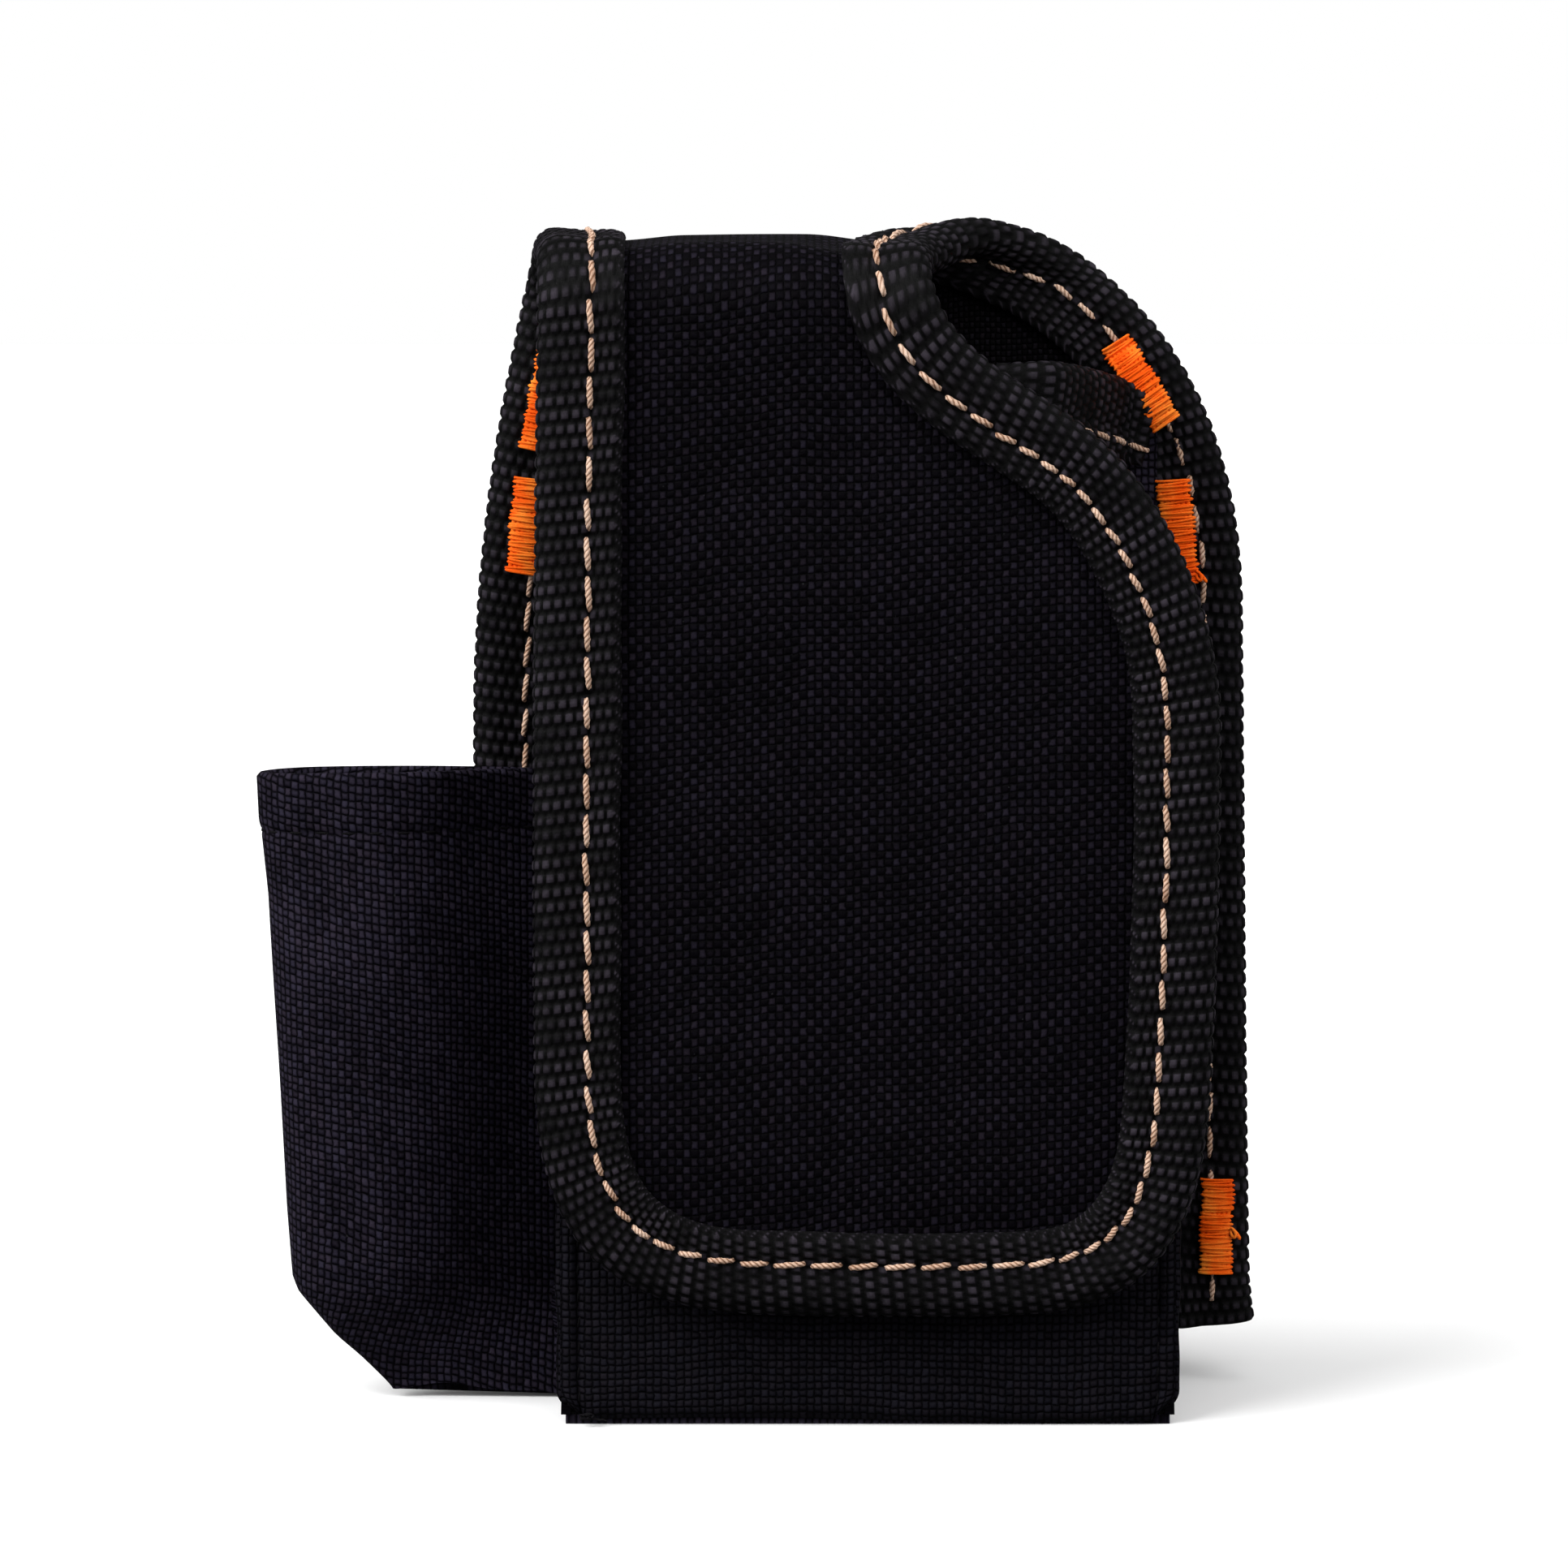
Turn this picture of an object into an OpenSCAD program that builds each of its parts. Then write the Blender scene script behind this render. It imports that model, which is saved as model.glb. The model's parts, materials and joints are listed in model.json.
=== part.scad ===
// Belt pouch for an electrician's phone or tester: a box pocket under a long
// flap, a narrow side pocket, and a tunnel loop for a belt behind.
// The cover is one long strip: it runs up the back, over the neck and down the
// front as the flap. It bends at two folds, and its edges are bound with webbing.
// +Z is up, the flap faces -Y, and the origin is under the middle of the pouch.

/* [Cover strip] */
// Middle plane of the back, along Y
back_y = 11.8; // [10:0.2:16]
// Height of the two fold lines
fold_z = 142; // [138:1:150]
// Distance between the two fold lines
neck_depth = 25; // [20:1:30]
// How far the flap leans out at its foot, in degrees
flap_lean = 2.4; // [1:0.2:4]
// Length of the flap from its fold line
flap_len = 127; // [110:1:130]
// Left edge of the flap
flap_left = -27; // [-32:1:-25]
// Right edge of the flap
flap_right = 55; // [50:1:58]
// Right edge of the neck at the front fold
neck_right = 20; // [12:1:26]
// How much wider the neck is at the back fold
neck_flare = 16; // [14:1:18]
// Radius of the flap's lower corners
corner_r = 22; // [12:1:26]
// Lower edge of the back
back_foot = 5; // [3:0.5:8]
// Left edge of the back
back_left = -36; // [-40:1:-34]
// Right edge of the back at its foot
back_right = 62; // [60:1:66]

/* [Layers] */
// Thickness of the outer cloth
cloth_t = 0.8; // [0.6:0.1:1]
// Thickness of the foam core
foam_t = 1.6; // [1:0.1:2]
// Thickness of the lining
lining_t = 0.6; // [0.4:0.1:0.8]
// Thickness of the edge webbing
web_t = 1.1; // [0.8:0.1:1.2]
// Width of the webbing that shows on each side of an edge
web_w = 10.3; // [9:0.1:11]
// Distance from an edge to its row of stitches
seam_in = 6; // [5:0.1:7]

/* [Pocket] */
// Left side of the box pocket
pocket_left = -24.4; // [-24.8:0.1:-23]
// Right side of the box pocket
pocket_right = 50.4; // [48:0.1:50.6]
// Height of the pocket's mouth
pocket_top = 128; // [118:1:130]
// Thickness of the pocket's walls
wall_t = 1.4; // [1:0.1:1.6]

/* [Side pocket] */
// Outer edge of the side pocket at its mouth
side_left = -62; // [-66:1:-58]
// Height of the side pocket's mouth
side_top = 78; // [70:1:90]
// Depth of the side pocket from front to back
side_d = 14; // [12:1:16]
// Thickness of the side pocket's wall
side_t = 1.2; // [1:0.1:1.6]
// Lean of the side pocket's outer edge, in degrees
side_lean = 3.6; // [2:0.2:5]
// Lower edge of the side pocket
side_foot = 1; // [0.5:0.5:3]
// Height of the side pocket's cut corner
cut_z = 13; // [8:1:20]
// Width of the side pocket's cut corner
cut_w = 11.4; // [8:0.2:14]

/* [Belt loop] */
// Lower end of the belt tunnel
tunnel_low = 26; // [20:1:30]
// Upper end of the belt tunnel
tunnel_high = 101; // [95:1:105]
// Room for the belt between the back and the loop
tunnel_gap = 4.6; // [4.4:0.2:6]
// Height of each sewn end of the loop
tab_h = 12; // [10:1:14]
// Left edge of the loop
loop_left = -31; // [-33:1:-28]
// Right edge of the loop
loop_right = 56; // [50:1:57]
// Thickness of the loop's cloth
loop_t = 1.6; // [1:0.1:2]

/* [Closure] */
// Width of the hook and loop patches
patch_w = 50; // [30:1:60]
// Height of the hook and loop patches
patch_h = 25; // [20:1:38]
// Thickness of each patch
patch_t = 1.2; // [1:0.1:1.3]

/* [Stitching] */
// Distance from one stitch to the next
stitch_pitch = 4.5; // [3.5:0.1:6]
// Length of the thread that shows in a stitch
stitch_len = 3.3; // [2:0.1:4]
// Thickness of the thread
thread_t = 0.8; // [0.5:0.1:1]
// Width of a bar tack
tack_w = 4; // [3:0.1:5]
// Length of a bar tack
tack_len = 12; // [10:0.5:14]

/* [Hidden] */
$fn = 48;

black = [0.06, 0.06, 0.08];
black_web = [0.09, 0.09, 0.11];
grey_foam = [0.35, 0.35, 0.37];
beige = [0.85, 0.68, 0.55];
orange = [0.9, 0.38, 0.05];

gap = 0.05;                                  // between pieces that are sewn together
strip_t = cloth_t + foam_t + lining_t;       // thickness of the cover strip
bound_t = strip_t + 2 * web_t;               // thickness of a bound edge
inset = 1;                                   // from a fold line out to the strip's middle plane
roll_r = inset + strip_t / 2;                // radius of the cloth rolled at a fold
bound_roll_r = inset + bound_t / 2;          // radius of the webbing rolled at a fold
play = 0.3;                                  // between a fold's roll and the panel below it
closing = 0.5;                               // between the hook patch and the loop patch
back_fold_y = back_y - inset;
front_fold_y = back_fold_y - neck_depth;
roll_lap = 1;                                // by which the right-hand rolls pass the slanting band
layer_in = bound_roll_r + play;              // from a fold line to the ends of the neck's layers
skim = 0.1;                                  // by which the neck's webbing lies below the tops of its rolls
neck_z = fold_z + inset;                     // middle plane of the neck
flap_y = -inset;                             // middle plane of the flap, from its fold line
neck_left = flap_left + 0.5;
neck_right_back = neck_right + neck_flare;
neck_slope = neck_flare / neck_depth;        // of the neck's right edge
back_seam_in = seam_in + 2;                  // from an edge of the back to its stitches
past = 1;                                    // by which a cut passes what it cuts
steps = 14;                                  // points along each curve of an outline

// A cubic curve from a to d, drawn towards b and then c.
function curve(a, b, c, d) = [for (i = [0:steps]) let (t = i / steps, u = 1 - t)
    u * u * u * a + 3 * u * u * t * b + 3 * u * t * t * c + t * t * t * d];

// Points of an arc from angle a0 to angle a1.
function arc(centre, r, a0, a1) =
    [for (i = [0:steps]) let (a = a0 + (a1 - a0) * i / steps) centre + r * [cos(a), sin(a)]];

// The path without points that repeat the one before them.
function clean(path) =
    [for (i = [0:len(path) - 1]) if (i == 0 || norm(path[i] - path[max(i - 1, 0)]) > 0.01) path[i]];

function reversed(path) = [for (i = [len(path) - 1:-1:0]) path[i]];

// Unit direction of a path at its point i.
function along(path, i) =
    let (v = path[min(i + 1, len(path) - 1)] - path[max(i - 1, 0)]) v / norm(v);

// The path moved sideways to its left by d.
function shifted(path, d) =
    [for (i = [0:len(path) - 1]) let (v = along(path, i)) path[i] + d * [-v[1], v[0]]];

// Lengths along a path to each of its points.
function lengths(path, i = 0, sum = 0) =
    i >= len(path) ? [] :
    let (here = i == 0 ? 0 : sum + norm(path[i] - path[i - 1])) concat([here], lengths(path, i + 1, here));

// The point at a distance s along a path, and the angle of the path there.
function place(path, sums, s) =
    let (i = max([for (k = [0:len(sums) - 2]) if (sums[k] <= s) k]),
         v = path[i + 1] - path[i],
         f = (s - sums[i]) / (sums[i + 1] - sums[i]))
    [path[i] + f * v, atan2(v[1], v[0])];

// Outlines are drawn as seen from the front, so that the strip is on the left
// of each path. Flap points are measured from its fold line.
flap_top = -bound_roll_r - play;
flap_outline = clean(concat(
    [[neck_left, flap_top], [flap_left, flap_top - 30]],
    arc([flap_left + corner_r, corner_r - flap_len], corner_r, 180, 270),
    arc([flap_right - corner_r, corner_r - flap_len], corner_r, 270, 360),
    [[flap_right, -57]],
    curve([flap_right, -57], [flap_right, -38], [45, -23.5], [34, -16.6]),
    curve([34, -16.6], [27, -12.3], [neck_right, -9], [neck_right, flap_top])
));

back_top = fold_z - bound_roll_r - play;
back_edge_left = clean(concat(
    curve([flap_left - 1, back_top], [-31, 130], [back_left, 108], [back_left, 80]),
    [[back_left, back_foot]]
));
back_edge_right = clean(concat(
    [[back_right, back_foot], [back_right - 1.8, 88]],
    curve([back_right - 1.8, 88], [back_right - 1.5, 119], [51, 129], [39, back_top])
));

// A band between two distances inside an edge.
module band(edge, from, to) {
    polygon(concat(shifted(edge, from), reversed(shifted(edge, to))));
}

// Lays a drawing with x across and y up on the plane y = at, with its thickness towards +Y.
module upright(at, t) {
    translate([0, at + t, 0]) rotate([90, 0, 0]) linear_extrude(t) children();
}

// The plane of the flap and the pocket's front, which lean out at the foot.
module leaning() {
    translate([0, front_fold_y, fold_z]) rotate([-flap_lean, 0, 0]) children();
}

// Webbing folded over an edge, in the plane y = middle.
module folded_web(edge, middle) {
    difference() {
        upright(middle - bound_t / 2, bound_t) band(edge, 0, web_w);
        upright(middle - strip_t / 2 - gap, strip_t + 2 * gap) band(edge, web_t, web_w + past);
    }
}

// A row of stitches along a path, standing proud in front of the plane y = at.
module stitches(path, at, proud = thread_t) {
    sums = lengths(path);
    count = floor(sums[len(sums) - 1] / stitch_pitch);
    for (i = [0:count - 1]) {
        spot = place(path, sums, (i + 0.5) * stitch_pitch);
        translate([spot[0][0], at - gap - proud / 2, spot[0][1]]) rotate([0, -spot[1], 0])
            cube([stitch_len, proud, thread_t], center = true);
    }
}

// ---- back, fixed ----

// The back's outline, moved in from its bound edges by d.
module back_shape(d) {
    polygon(concat(shifted(back_edge_left, d), shifted(back_edge_right, d)));
}

module back_panel() {
    color(black) upright(back_y + strip_t / 2 - cloth_t, cloth_t) back_shape(web_t + gap);
}

module back_foam() {
    color(grey_foam) upright(back_y - strip_t / 2 + lining_t, foam_t) back_shape(web_t + gap);
}

module back_lining() {
    color(black) upright(back_y - strip_t / 2, lining_t) back_shape(web_t + gap);
}

module back_binding_left() {
    color(black_web) folded_web(back_edge_left, back_y);
}

module back_binding_right() {
    color(black_web) folded_web(back_edge_right, back_y);
}

module back_thread_left() {
    color(beige) stitches(shifted(back_edge_left, back_seam_in), back_y - bound_t / 2);
}

module back_thread_right() {
    color(beige) stitches(shifted(back_edge_right, back_seam_in), back_y - bound_t / 2);
}

// ---- box pocket, fixed ----

// Distances behind the flap's fold line, in the leaning plane.
loop_patch_y = flap_y + strip_t / 2;
hook_patch_y = loop_patch_y + patch_t + closing;
front_y = hook_patch_y + patch_t;

// Depth at which the inside of the pocket's front lies, at a height z.
function front_inside(z) =
    front_fold_y + (front_y + wall_t) / cos(flap_lean) - (fold_z - z) * tan(flap_lean);

gusset_back = back_y - bound_t / 2 - thread_t - 2 * gap;
base_back = back_y - strip_t / 2 - gap;
base_lip = 0.5;                              // thickness of the base where it runs under the front

module pocket_front() {
    foot = (base_lip + gap - fold_z + (front_y + wall_t) * sin(flap_lean)) / cos(flap_lean);
    top = -(fold_z - pocket_top + web_t + gap) / cos(flap_lean);
    color(black) leaning() translate([pocket_left, front_y, foot])
        cube([pocket_right - pocket_left, wall_t, top - foot]);
}

module pocket_base() {
    low = front_inside(0) - wall_t / 2;
    high = front_inside(wall_t) + gap;
    color(black) {
        translate([pocket_left, low, 0]) cube([pocket_right - pocket_left, base_back - low, base_lip]);
        translate([pocket_left, high, 0]) cube([pocket_right - pocket_left, base_back - high, wall_t]);
    }
}

// One side of the box, between the front and the back.
module gusset(x) {
    low = wall_t + gap;
    high = pocket_top - web_t - play;
    translate([x, 0, 0]) rotate([90, 0, 90]) linear_extrude(wall_t) polygon([
        [front_inside(low) + gap, low], [gusset_back, low],
        [gusset_back, high], [front_inside(high) + gap, high]
    ]);
}

module gusset_left() {
    color(black) gusset(pocket_left);
}

module gusset_right() {
    color(black) gusset(pocket_right - wall_t);
}

rim_h = 12;                                  // height of the webbing on the pocket's mouth
rim_seam = 8;                                // from the mouth down to its stitches
rim_proud = 0.3;                             // height of those stitches, which the flap presses flat

// Webbing folded over one side of the mouth, as a channel open below.
module side_channel(x) {
    low = pocket_top - rim_h;
    top = pocket_top;
    front = front_inside(top) + web_t + 2 * gap;
    difference() {
        translate([x - web_t, 0, 0]) rotate([90, 0, 90]) linear_extrude(wall_t + 2 * web_t) polygon([
            [front_inside(low) + web_t + 2 * gap, low], [gusset_back, low], [gusset_back, top], [front, top]
        ]);
        translate([x - gap, front_inside(low), low - past])
            cube([wall_t + 2 * gap, gusset_back - front_inside(low) + past, rim_h + past - web_t]);
    }
}

module pocket_rim() {
    wide = pocket_right - pocket_left;
    low = -(fold_z - pocket_top) / cos(flap_lean) - rim_h;
    color(black_web) {
        leaning() translate([pocket_left - web_t, front_y - web_t, low])
            difference() {
                cube([wide + 2 * web_t, wall_t + 2 * web_t, rim_h]);
                translate([-past, web_t - gap, -past])
                    cube([wide + 2 * web_t + 2 * past, wall_t + 2 * gap, rim_h + past - web_t]);
                for (x = [web_t - gap, wide + web_t - wall_t - gap])
                    translate([x, web_t + wall_t, -past])
                        cube([wall_t + 2 * gap, web_t + past, rim_h + past - web_t]);
            }
        side_channel(pocket_left);
        side_channel(pocket_right - wall_t);
    }
}

module pocket_rim_thread() {
    level = -(fold_z - pocket_top) / cos(flap_lean) - rim_seam;
    color(beige) leaning()
        stitches([[pocket_left, level], [pocket_right, level]], front_y - web_t, rim_proud);
}

// Middle of the two patches, from the fold line
patch_mid = [(flap_left + flap_right) / 2, -92];

module patch(y) {
    translate([patch_mid[0] - patch_w / 2, y, patch_mid[1] - patch_h / 2]) cube([patch_w, patch_t, patch_h]);
}

module hook_patch() {
    color(black) leaning() patch(hook_patch_y - gap);
}

// ---- side pocket, fixed ----

// The side pocket seen from the front, with its lower outer corner cut off.
// The hollow is the same outline drawn in by d, and it passes the mouth.
function side_outline(d) =
    let (inner = pocket_left - gap + d, mouth = side_top + (d > 0 ? past : 0),
         corner = side_left + (side_top - cut_z) * tan(side_lean))
    [
        [side_left + d, mouth], [corner + d, cut_z + d / 2], [corner + cut_w + d / 2, side_foot + d],
        [inner, side_foot + d], [inner, mouth]
    ];

// A half-round trough, open towards +X, drawn in by d.
module side_section(d) {
    r = side_d / 2 - d;
    translate([side_d / 2, 0]) circle(r);
    translate([side_d / 2, -r]) square([pocket_left - side_left, 2 * r]);
}

module side_body(d) {
    intersection() {
        translate([side_left, 0, side_top]) rotate([0, -side_lean, 0]) translate([0, 0, -2 * side_top])
            linear_extrude(3 * side_top) side_section(d);
        upright(-side_d, 2 * side_d) polygon(side_outline(d));
    }
}

module side_pocket() {
    color(black) difference() {
        side_body(0);
        side_body(side_t);
    }
}

// ---- belt loop, fixed ----

loop_middle = loop_t / 2 + web_t + gap;   // from the bound back to the loop's middle
tunnel_run = 9;                           // height over which the loop rises off the back

// How far the loop stands off its sewn ends, at a height z.
function loop_rise(z) =
    let (f = min(1, max(0, (z - tunnel_low) / tunnel_run), max(0, (tunnel_high - z) / tunnel_run)))
    tunnel_gap * (1 - cos(180 * f)) / 2;

loop_low = tunnel_low - tab_h;
loop_high = tunnel_high + tab_h;
loop_heights = concat(
    [loop_low], [for (i = [0:6]) tunnel_low + tunnel_run * i / 6],
    [for (i = [0:6]) tunnel_high - tunnel_run * (6 - i) / 6], [loop_high]
);

// Side view of the loop, from a to b behind its middle, drawn as y across and z up.
module loop_profile(a, b) {
    base = back_y + bound_t / 2 + loop_middle;
    polygon(concat(
        [for (z = loop_heights) [base + loop_rise(z) + b, z]],
        [for (z = reversed(loop_heights)) [base + loop_rise(z) + a, z]]
    ));
}

module loop_sheet(x0, x1, a, b) {
    translate([x0, 0, 0]) rotate([90, 0, 90]) linear_extrude(x1 - x0) loop_profile(a, b);
}

module belt_loop() {
    color(black) loop_sheet(loop_left + web_t + gap, loop_right - web_t - gap, -loop_t / 2, loop_t / 2);
}

// Webbing folded over one side edge of the loop, from x0 to x1, with its slot from s0 to s1.
module loop_web(x0, x1, s0, s1) {
    half = loop_t / 2 + web_t;
    difference() {
        loop_sheet(x0, x1, -half, half);
        loop_sheet(s0, s1, -loop_t / 2 - gap, loop_t / 2 + gap);
    }
}

module belt_loop_binding_left() {
    color(black_web) loop_web(loop_left, loop_left + web_w, loop_left + web_t, loop_left + web_w + past);
}

module belt_loop_binding_right() {
    color(black_web) loop_web(loop_right - web_w, loop_right, loop_right - web_w - past, loop_right - web_t);
}

// Stitches on the webbing of the loop, one row down each side of the tunnel.
module belt_loop_thread() {
    out = back_y + bound_t / 2 + loop_middle + tunnel_gap + loop_t / 2 + web_t;
    low = tunnel_low + tunnel_run;
    high = tunnel_high - tunnel_run;
    count = floor((high - low) / stitch_pitch);
    color(beige) for (x = [loop_left + seam_in, loop_right - seam_in], i = [0:count - 1])
        translate([x, out + gap + thread_t / 2, low + (i + 0.5) * stitch_pitch])
            cube([thread_t, thread_t, stitch_len], center = true);
}

// ---- bar tacks, fixed ----

// Middle of each bar tack as seen from the front, and its lean in degrees.
tacks = [
    [48.5, 123.4, 26], [53.4, 107, 8], [57.6, 19.5, 0],
    [-28.6, 123.4, -8], [-29.6, 107, -6], [-31, 19.5, 0]
];

// The belt loop's own tacks, in the middle of its sewn ends.
loop_tacks = [
    for (x = [loop_left + tack_w, loop_right - tack_w], z = [loop_low + tab_h / 2, loop_high - tab_h / 2])
        [x, z, 0]
];

// Bars of thread from y to y + t.
module tack_bars(list, y, t) {
    for (tack = list)
        translate([tack[0], y + t / 2, tack[1]]) rotate([0, -tack[2], 0])
            cube([tack_w, t, tack_len], center = true);
}

module bartacks_front() {
    color(orange) tack_bars(tacks, back_y - bound_t / 2 - thread_t - gap, thread_t);
}

module bartacks_rear() {
    loop_out = back_y + bound_t / 2 + loop_middle + loop_t / 2 + web_t + gap;
    color(orange) {
        tack_bars([tacks[0], tacks[3]], back_y + bound_t / 2 + gap, thread_t);
        tack_bars(loop_tacks, loop_out, thread_t);
    }
}

// ---- neck, which turns about the back fold ----

// The neck seen from above, drawn in by d from its side edges, from y0 to y1.
module neck_shape(d, y0, y1) {
    polygon([
        [neck_left + d, y0], [neck_right - d + neck_slope * (y0 - front_fold_y), y0],
        [neck_right - d + neck_slope * (y1 - front_fold_y), y1], [neck_left + d, y1]
    ]);
}

// Cloth rolled round both fold lines.
module fold_rolls(r, x0, front_x1, back_x1) {
    translate([x0, front_fold_y, fold_z]) rotate([0, 90, 0]) cylinder(h = front_x1 - x0, r = r);
    translate([x0, back_fold_y, fold_z]) rotate([0, 90, 0]) cylinder(h = back_x1 - x0, r = r);
}

module neck_panel() {
    d = web_w + roll_lap + gap;
    back_end = neck_right_back - web_w - gap - neck_slope * roll_r;
    color(black) {
        fold_rolls(roll_r, neck_left + d, neck_right - d, back_end);
        neck_layer(neck_z + strip_t / 2 - cloth_t, cloth_t);
        translate([0, 0, neck_z + strip_t / 2 - cloth_t]) linear_extrude(cloth_t) difference() {
            neck_shape(d, front_fold_y, back_fold_y);
            translate([neck_right - d, front_fold_y]) square(bound_roll_r + gap);
        }
    }
}

// A layer of the neck between its two rolls, from the height z.
module neck_layer(z, t) {
    translate([0, 0, z]) linear_extrude(t)
        neck_shape(web_t + gap, front_fold_y + layer_in, back_fold_y - layer_in);
}

module neck_foam() {
    color(grey_foam) neck_layer(neck_z - strip_t / 2 + lining_t, foam_t);
}

module neck_lining() {
    color(black) neck_layer(neck_z - strip_t / 2, lining_t);
}

// Webbing over one side edge of the neck, with its rolls at both folds.
module neck_binding_left() {
    color(black_web) {
        fold_rolls(bound_roll_r, neck_left, neck_left + web_w, neck_left + web_w);
        difference() {
            translate([neck_left, front_fold_y, neck_z - bound_t / 2])
                cube([web_w, neck_depth, bound_t - skim]);
            translate([neck_left + web_t, front_fold_y + layer_in - gap, neck_z - strip_t / 2 - gap])
                cube([web_w, neck_depth - 2 * layer_in + 2 * gap, strip_t + 2 * gap]);
        }
    }
}

module neck_binding_right() {
    color(black_web) {
        translate([neck_right - web_w - roll_lap, front_fold_y, fold_z]) rotate([0, 90, 0])
            cylinder(h = web_w + 2 * roll_lap, r = bound_roll_r);
        translate([neck_right_back - web_w - roll_lap, back_fold_y, fold_z]) rotate([0, 90, 0])
            cylinder(h = web_w + 2 * roll_lap, r = bound_roll_r);
        difference() {
            translate([0, 0, neck_z - bound_t / 2]) linear_extrude(bound_t - skim) difference() {
                neck_shape(0, front_fold_y, back_fold_y);
                translate([-web_w, 0]) neck_shape(0, front_fold_y - past, back_fold_y + past);
            }
            translate([0, 0, neck_z - strip_t / 2 - gap]) linear_extrude(strip_t + 2 * gap)
                neck_shape(web_t, front_fold_y + layer_in - gap, back_fold_y - layer_in + gap);
        }
    }
}

// The stitches that run over the neck between the rows of the flap and of the back.
module neck_thread() {
    top = neck_z + bound_t / 2 + gap;
    count = floor(neck_depth / stitch_pitch);
    color(beige) for (i = [0:count - 1]) {
        run = neck_depth / 2 + (i - (count - 1) / 2) * stitch_pitch;
        translate([neck_left + seam_in, front_fold_y + run, top + thread_t / 2])
            cube([thread_t, stitch_len, thread_t], center = true);
        translate([neck_right - seam_in + neck_slope * run, front_fold_y + run, top + thread_t / 2])
            rotate([0, 0, -atan(neck_slope)]) cube([thread_t, stitch_len, thread_t], center = true);
    }
}

// ---- flap, which turns about the front fold ----

// The flap's outline, moved in from its bound edge by d.
module flap_shape(d) {
    polygon(shifted(flap_outline, d));
}

module flap_panel() {
    color(black) leaning() upright(flap_y - strip_t / 2, cloth_t) flap_shape(web_t + gap);
}

module flap_foam() {
    color(grey_foam) leaning() upright(flap_y - strip_t / 2 + cloth_t, foam_t) flap_shape(web_t + gap);
}

module flap_lining() {
    color(black) leaning() upright(flap_y + strip_t / 2 - lining_t, lining_t) flap_shape(web_t + gap);
}

module flap_binding() {
    color(black_web) leaning() folded_web(flap_outline, flap_y);
}

module flap_thread() {
    color(beige) leaning() stitches(shifted(flap_outline, seam_in), flap_y - bound_t / 2);
}

module loop_patch() {
    color(black) leaning() patch(loop_patch_y + gap);
}

back_panel();
back_foam();
back_lining();
back_binding_left();
back_binding_right();
back_thread_left();
back_thread_right();
pocket_front();
pocket_base();
gusset_left();
gusset_right();
pocket_rim();
pocket_rim_thread();
hook_patch();
side_pocket();
belt_loop();
belt_loop_binding_left();
belt_loop_binding_right();
belt_loop_thread();
bartacks_front();
bartacks_rear();
neck_panel();
neck_foam();
neck_lining();
neck_binding_left();
neck_binding_right();
neck_thread();
flap_panel();
flap_foam();
flap_lining();
flap_binding();
flap_thread();
loop_patch();
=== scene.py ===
import json
import math

import bpy
import numpy as np
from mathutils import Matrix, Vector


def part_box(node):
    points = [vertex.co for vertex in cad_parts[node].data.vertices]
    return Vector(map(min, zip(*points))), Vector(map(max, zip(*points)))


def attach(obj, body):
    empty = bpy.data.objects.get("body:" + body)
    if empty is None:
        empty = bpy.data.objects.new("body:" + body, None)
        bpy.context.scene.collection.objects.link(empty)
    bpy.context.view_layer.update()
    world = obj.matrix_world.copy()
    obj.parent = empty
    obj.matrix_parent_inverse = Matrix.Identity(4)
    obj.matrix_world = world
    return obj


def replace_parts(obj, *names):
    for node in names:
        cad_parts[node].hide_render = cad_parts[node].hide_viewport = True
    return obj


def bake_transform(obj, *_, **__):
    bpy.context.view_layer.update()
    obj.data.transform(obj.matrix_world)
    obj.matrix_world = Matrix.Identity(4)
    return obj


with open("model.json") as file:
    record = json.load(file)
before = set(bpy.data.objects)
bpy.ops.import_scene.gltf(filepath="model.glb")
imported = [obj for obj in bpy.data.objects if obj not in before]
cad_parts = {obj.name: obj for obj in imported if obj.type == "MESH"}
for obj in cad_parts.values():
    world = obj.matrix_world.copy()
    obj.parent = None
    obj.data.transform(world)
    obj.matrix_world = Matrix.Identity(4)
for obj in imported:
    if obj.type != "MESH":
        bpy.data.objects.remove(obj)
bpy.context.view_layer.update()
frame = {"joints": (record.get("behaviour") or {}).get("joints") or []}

# Lengths are in millimetres until a mesh is built, and angles in radians.
MM = 0.001
joints = {joint["name"]: np.array(joint["pos_m"]) / MM for joint in frame["joints"]}


def node_box(name):
    """A CAD node's lowest and highest corners, in millimetres."""
    low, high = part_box(name)
    return np.array(low) / MM, np.array(high) / MM


# ---- camera ----

AIM = np.array([2.8, 0.0, 76.8])
DISTANCE = 650.0
RISE = math.radians(6.0)
FIELD = 193.2          # width of the view at the aim point
SENSOR = 36

camera = bpy.data.objects.new("camera", bpy.data.cameras.new("camera"))
bpy.context.scene.collection.objects.link(camera)
bpy.context.scene.camera = camera
camera.data.sensor_width = SENSOR
camera.data.lens = SENSOR * DISTANCE / FIELD
camera.data.clip_start = 0.01
camera.location = (AIM + DISTANCE * np.array([0, -math.cos(RISE), math.sin(RISE)])) * MM
camera.rotation_euler = (math.pi / 2 - RISE, 0, 0)


# ---- small helpers ----

def smooth(t):
    """0 below 0, 1 above 1, and an S-curve between."""
    t = np.clip(t, 0, 1)
    return t * t * (3 - 2 * t)


def bell(x, width):
    """1 where x is 0, falling away to nothing on both sides."""
    return np.exp(-(x / width) ** 2)


def unit(vectors):
    """Each vector brought to length 1."""
    return vectors / np.maximum(np.linalg.norm(vectors, axis=-1, keepdims=True), 1e-9)


def run_along(line):
    """How far along a line each of its points is."""
    return np.concatenate([[0], np.cumsum(np.linalg.norm(np.diff(line, axis=0), axis=1))])


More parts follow.
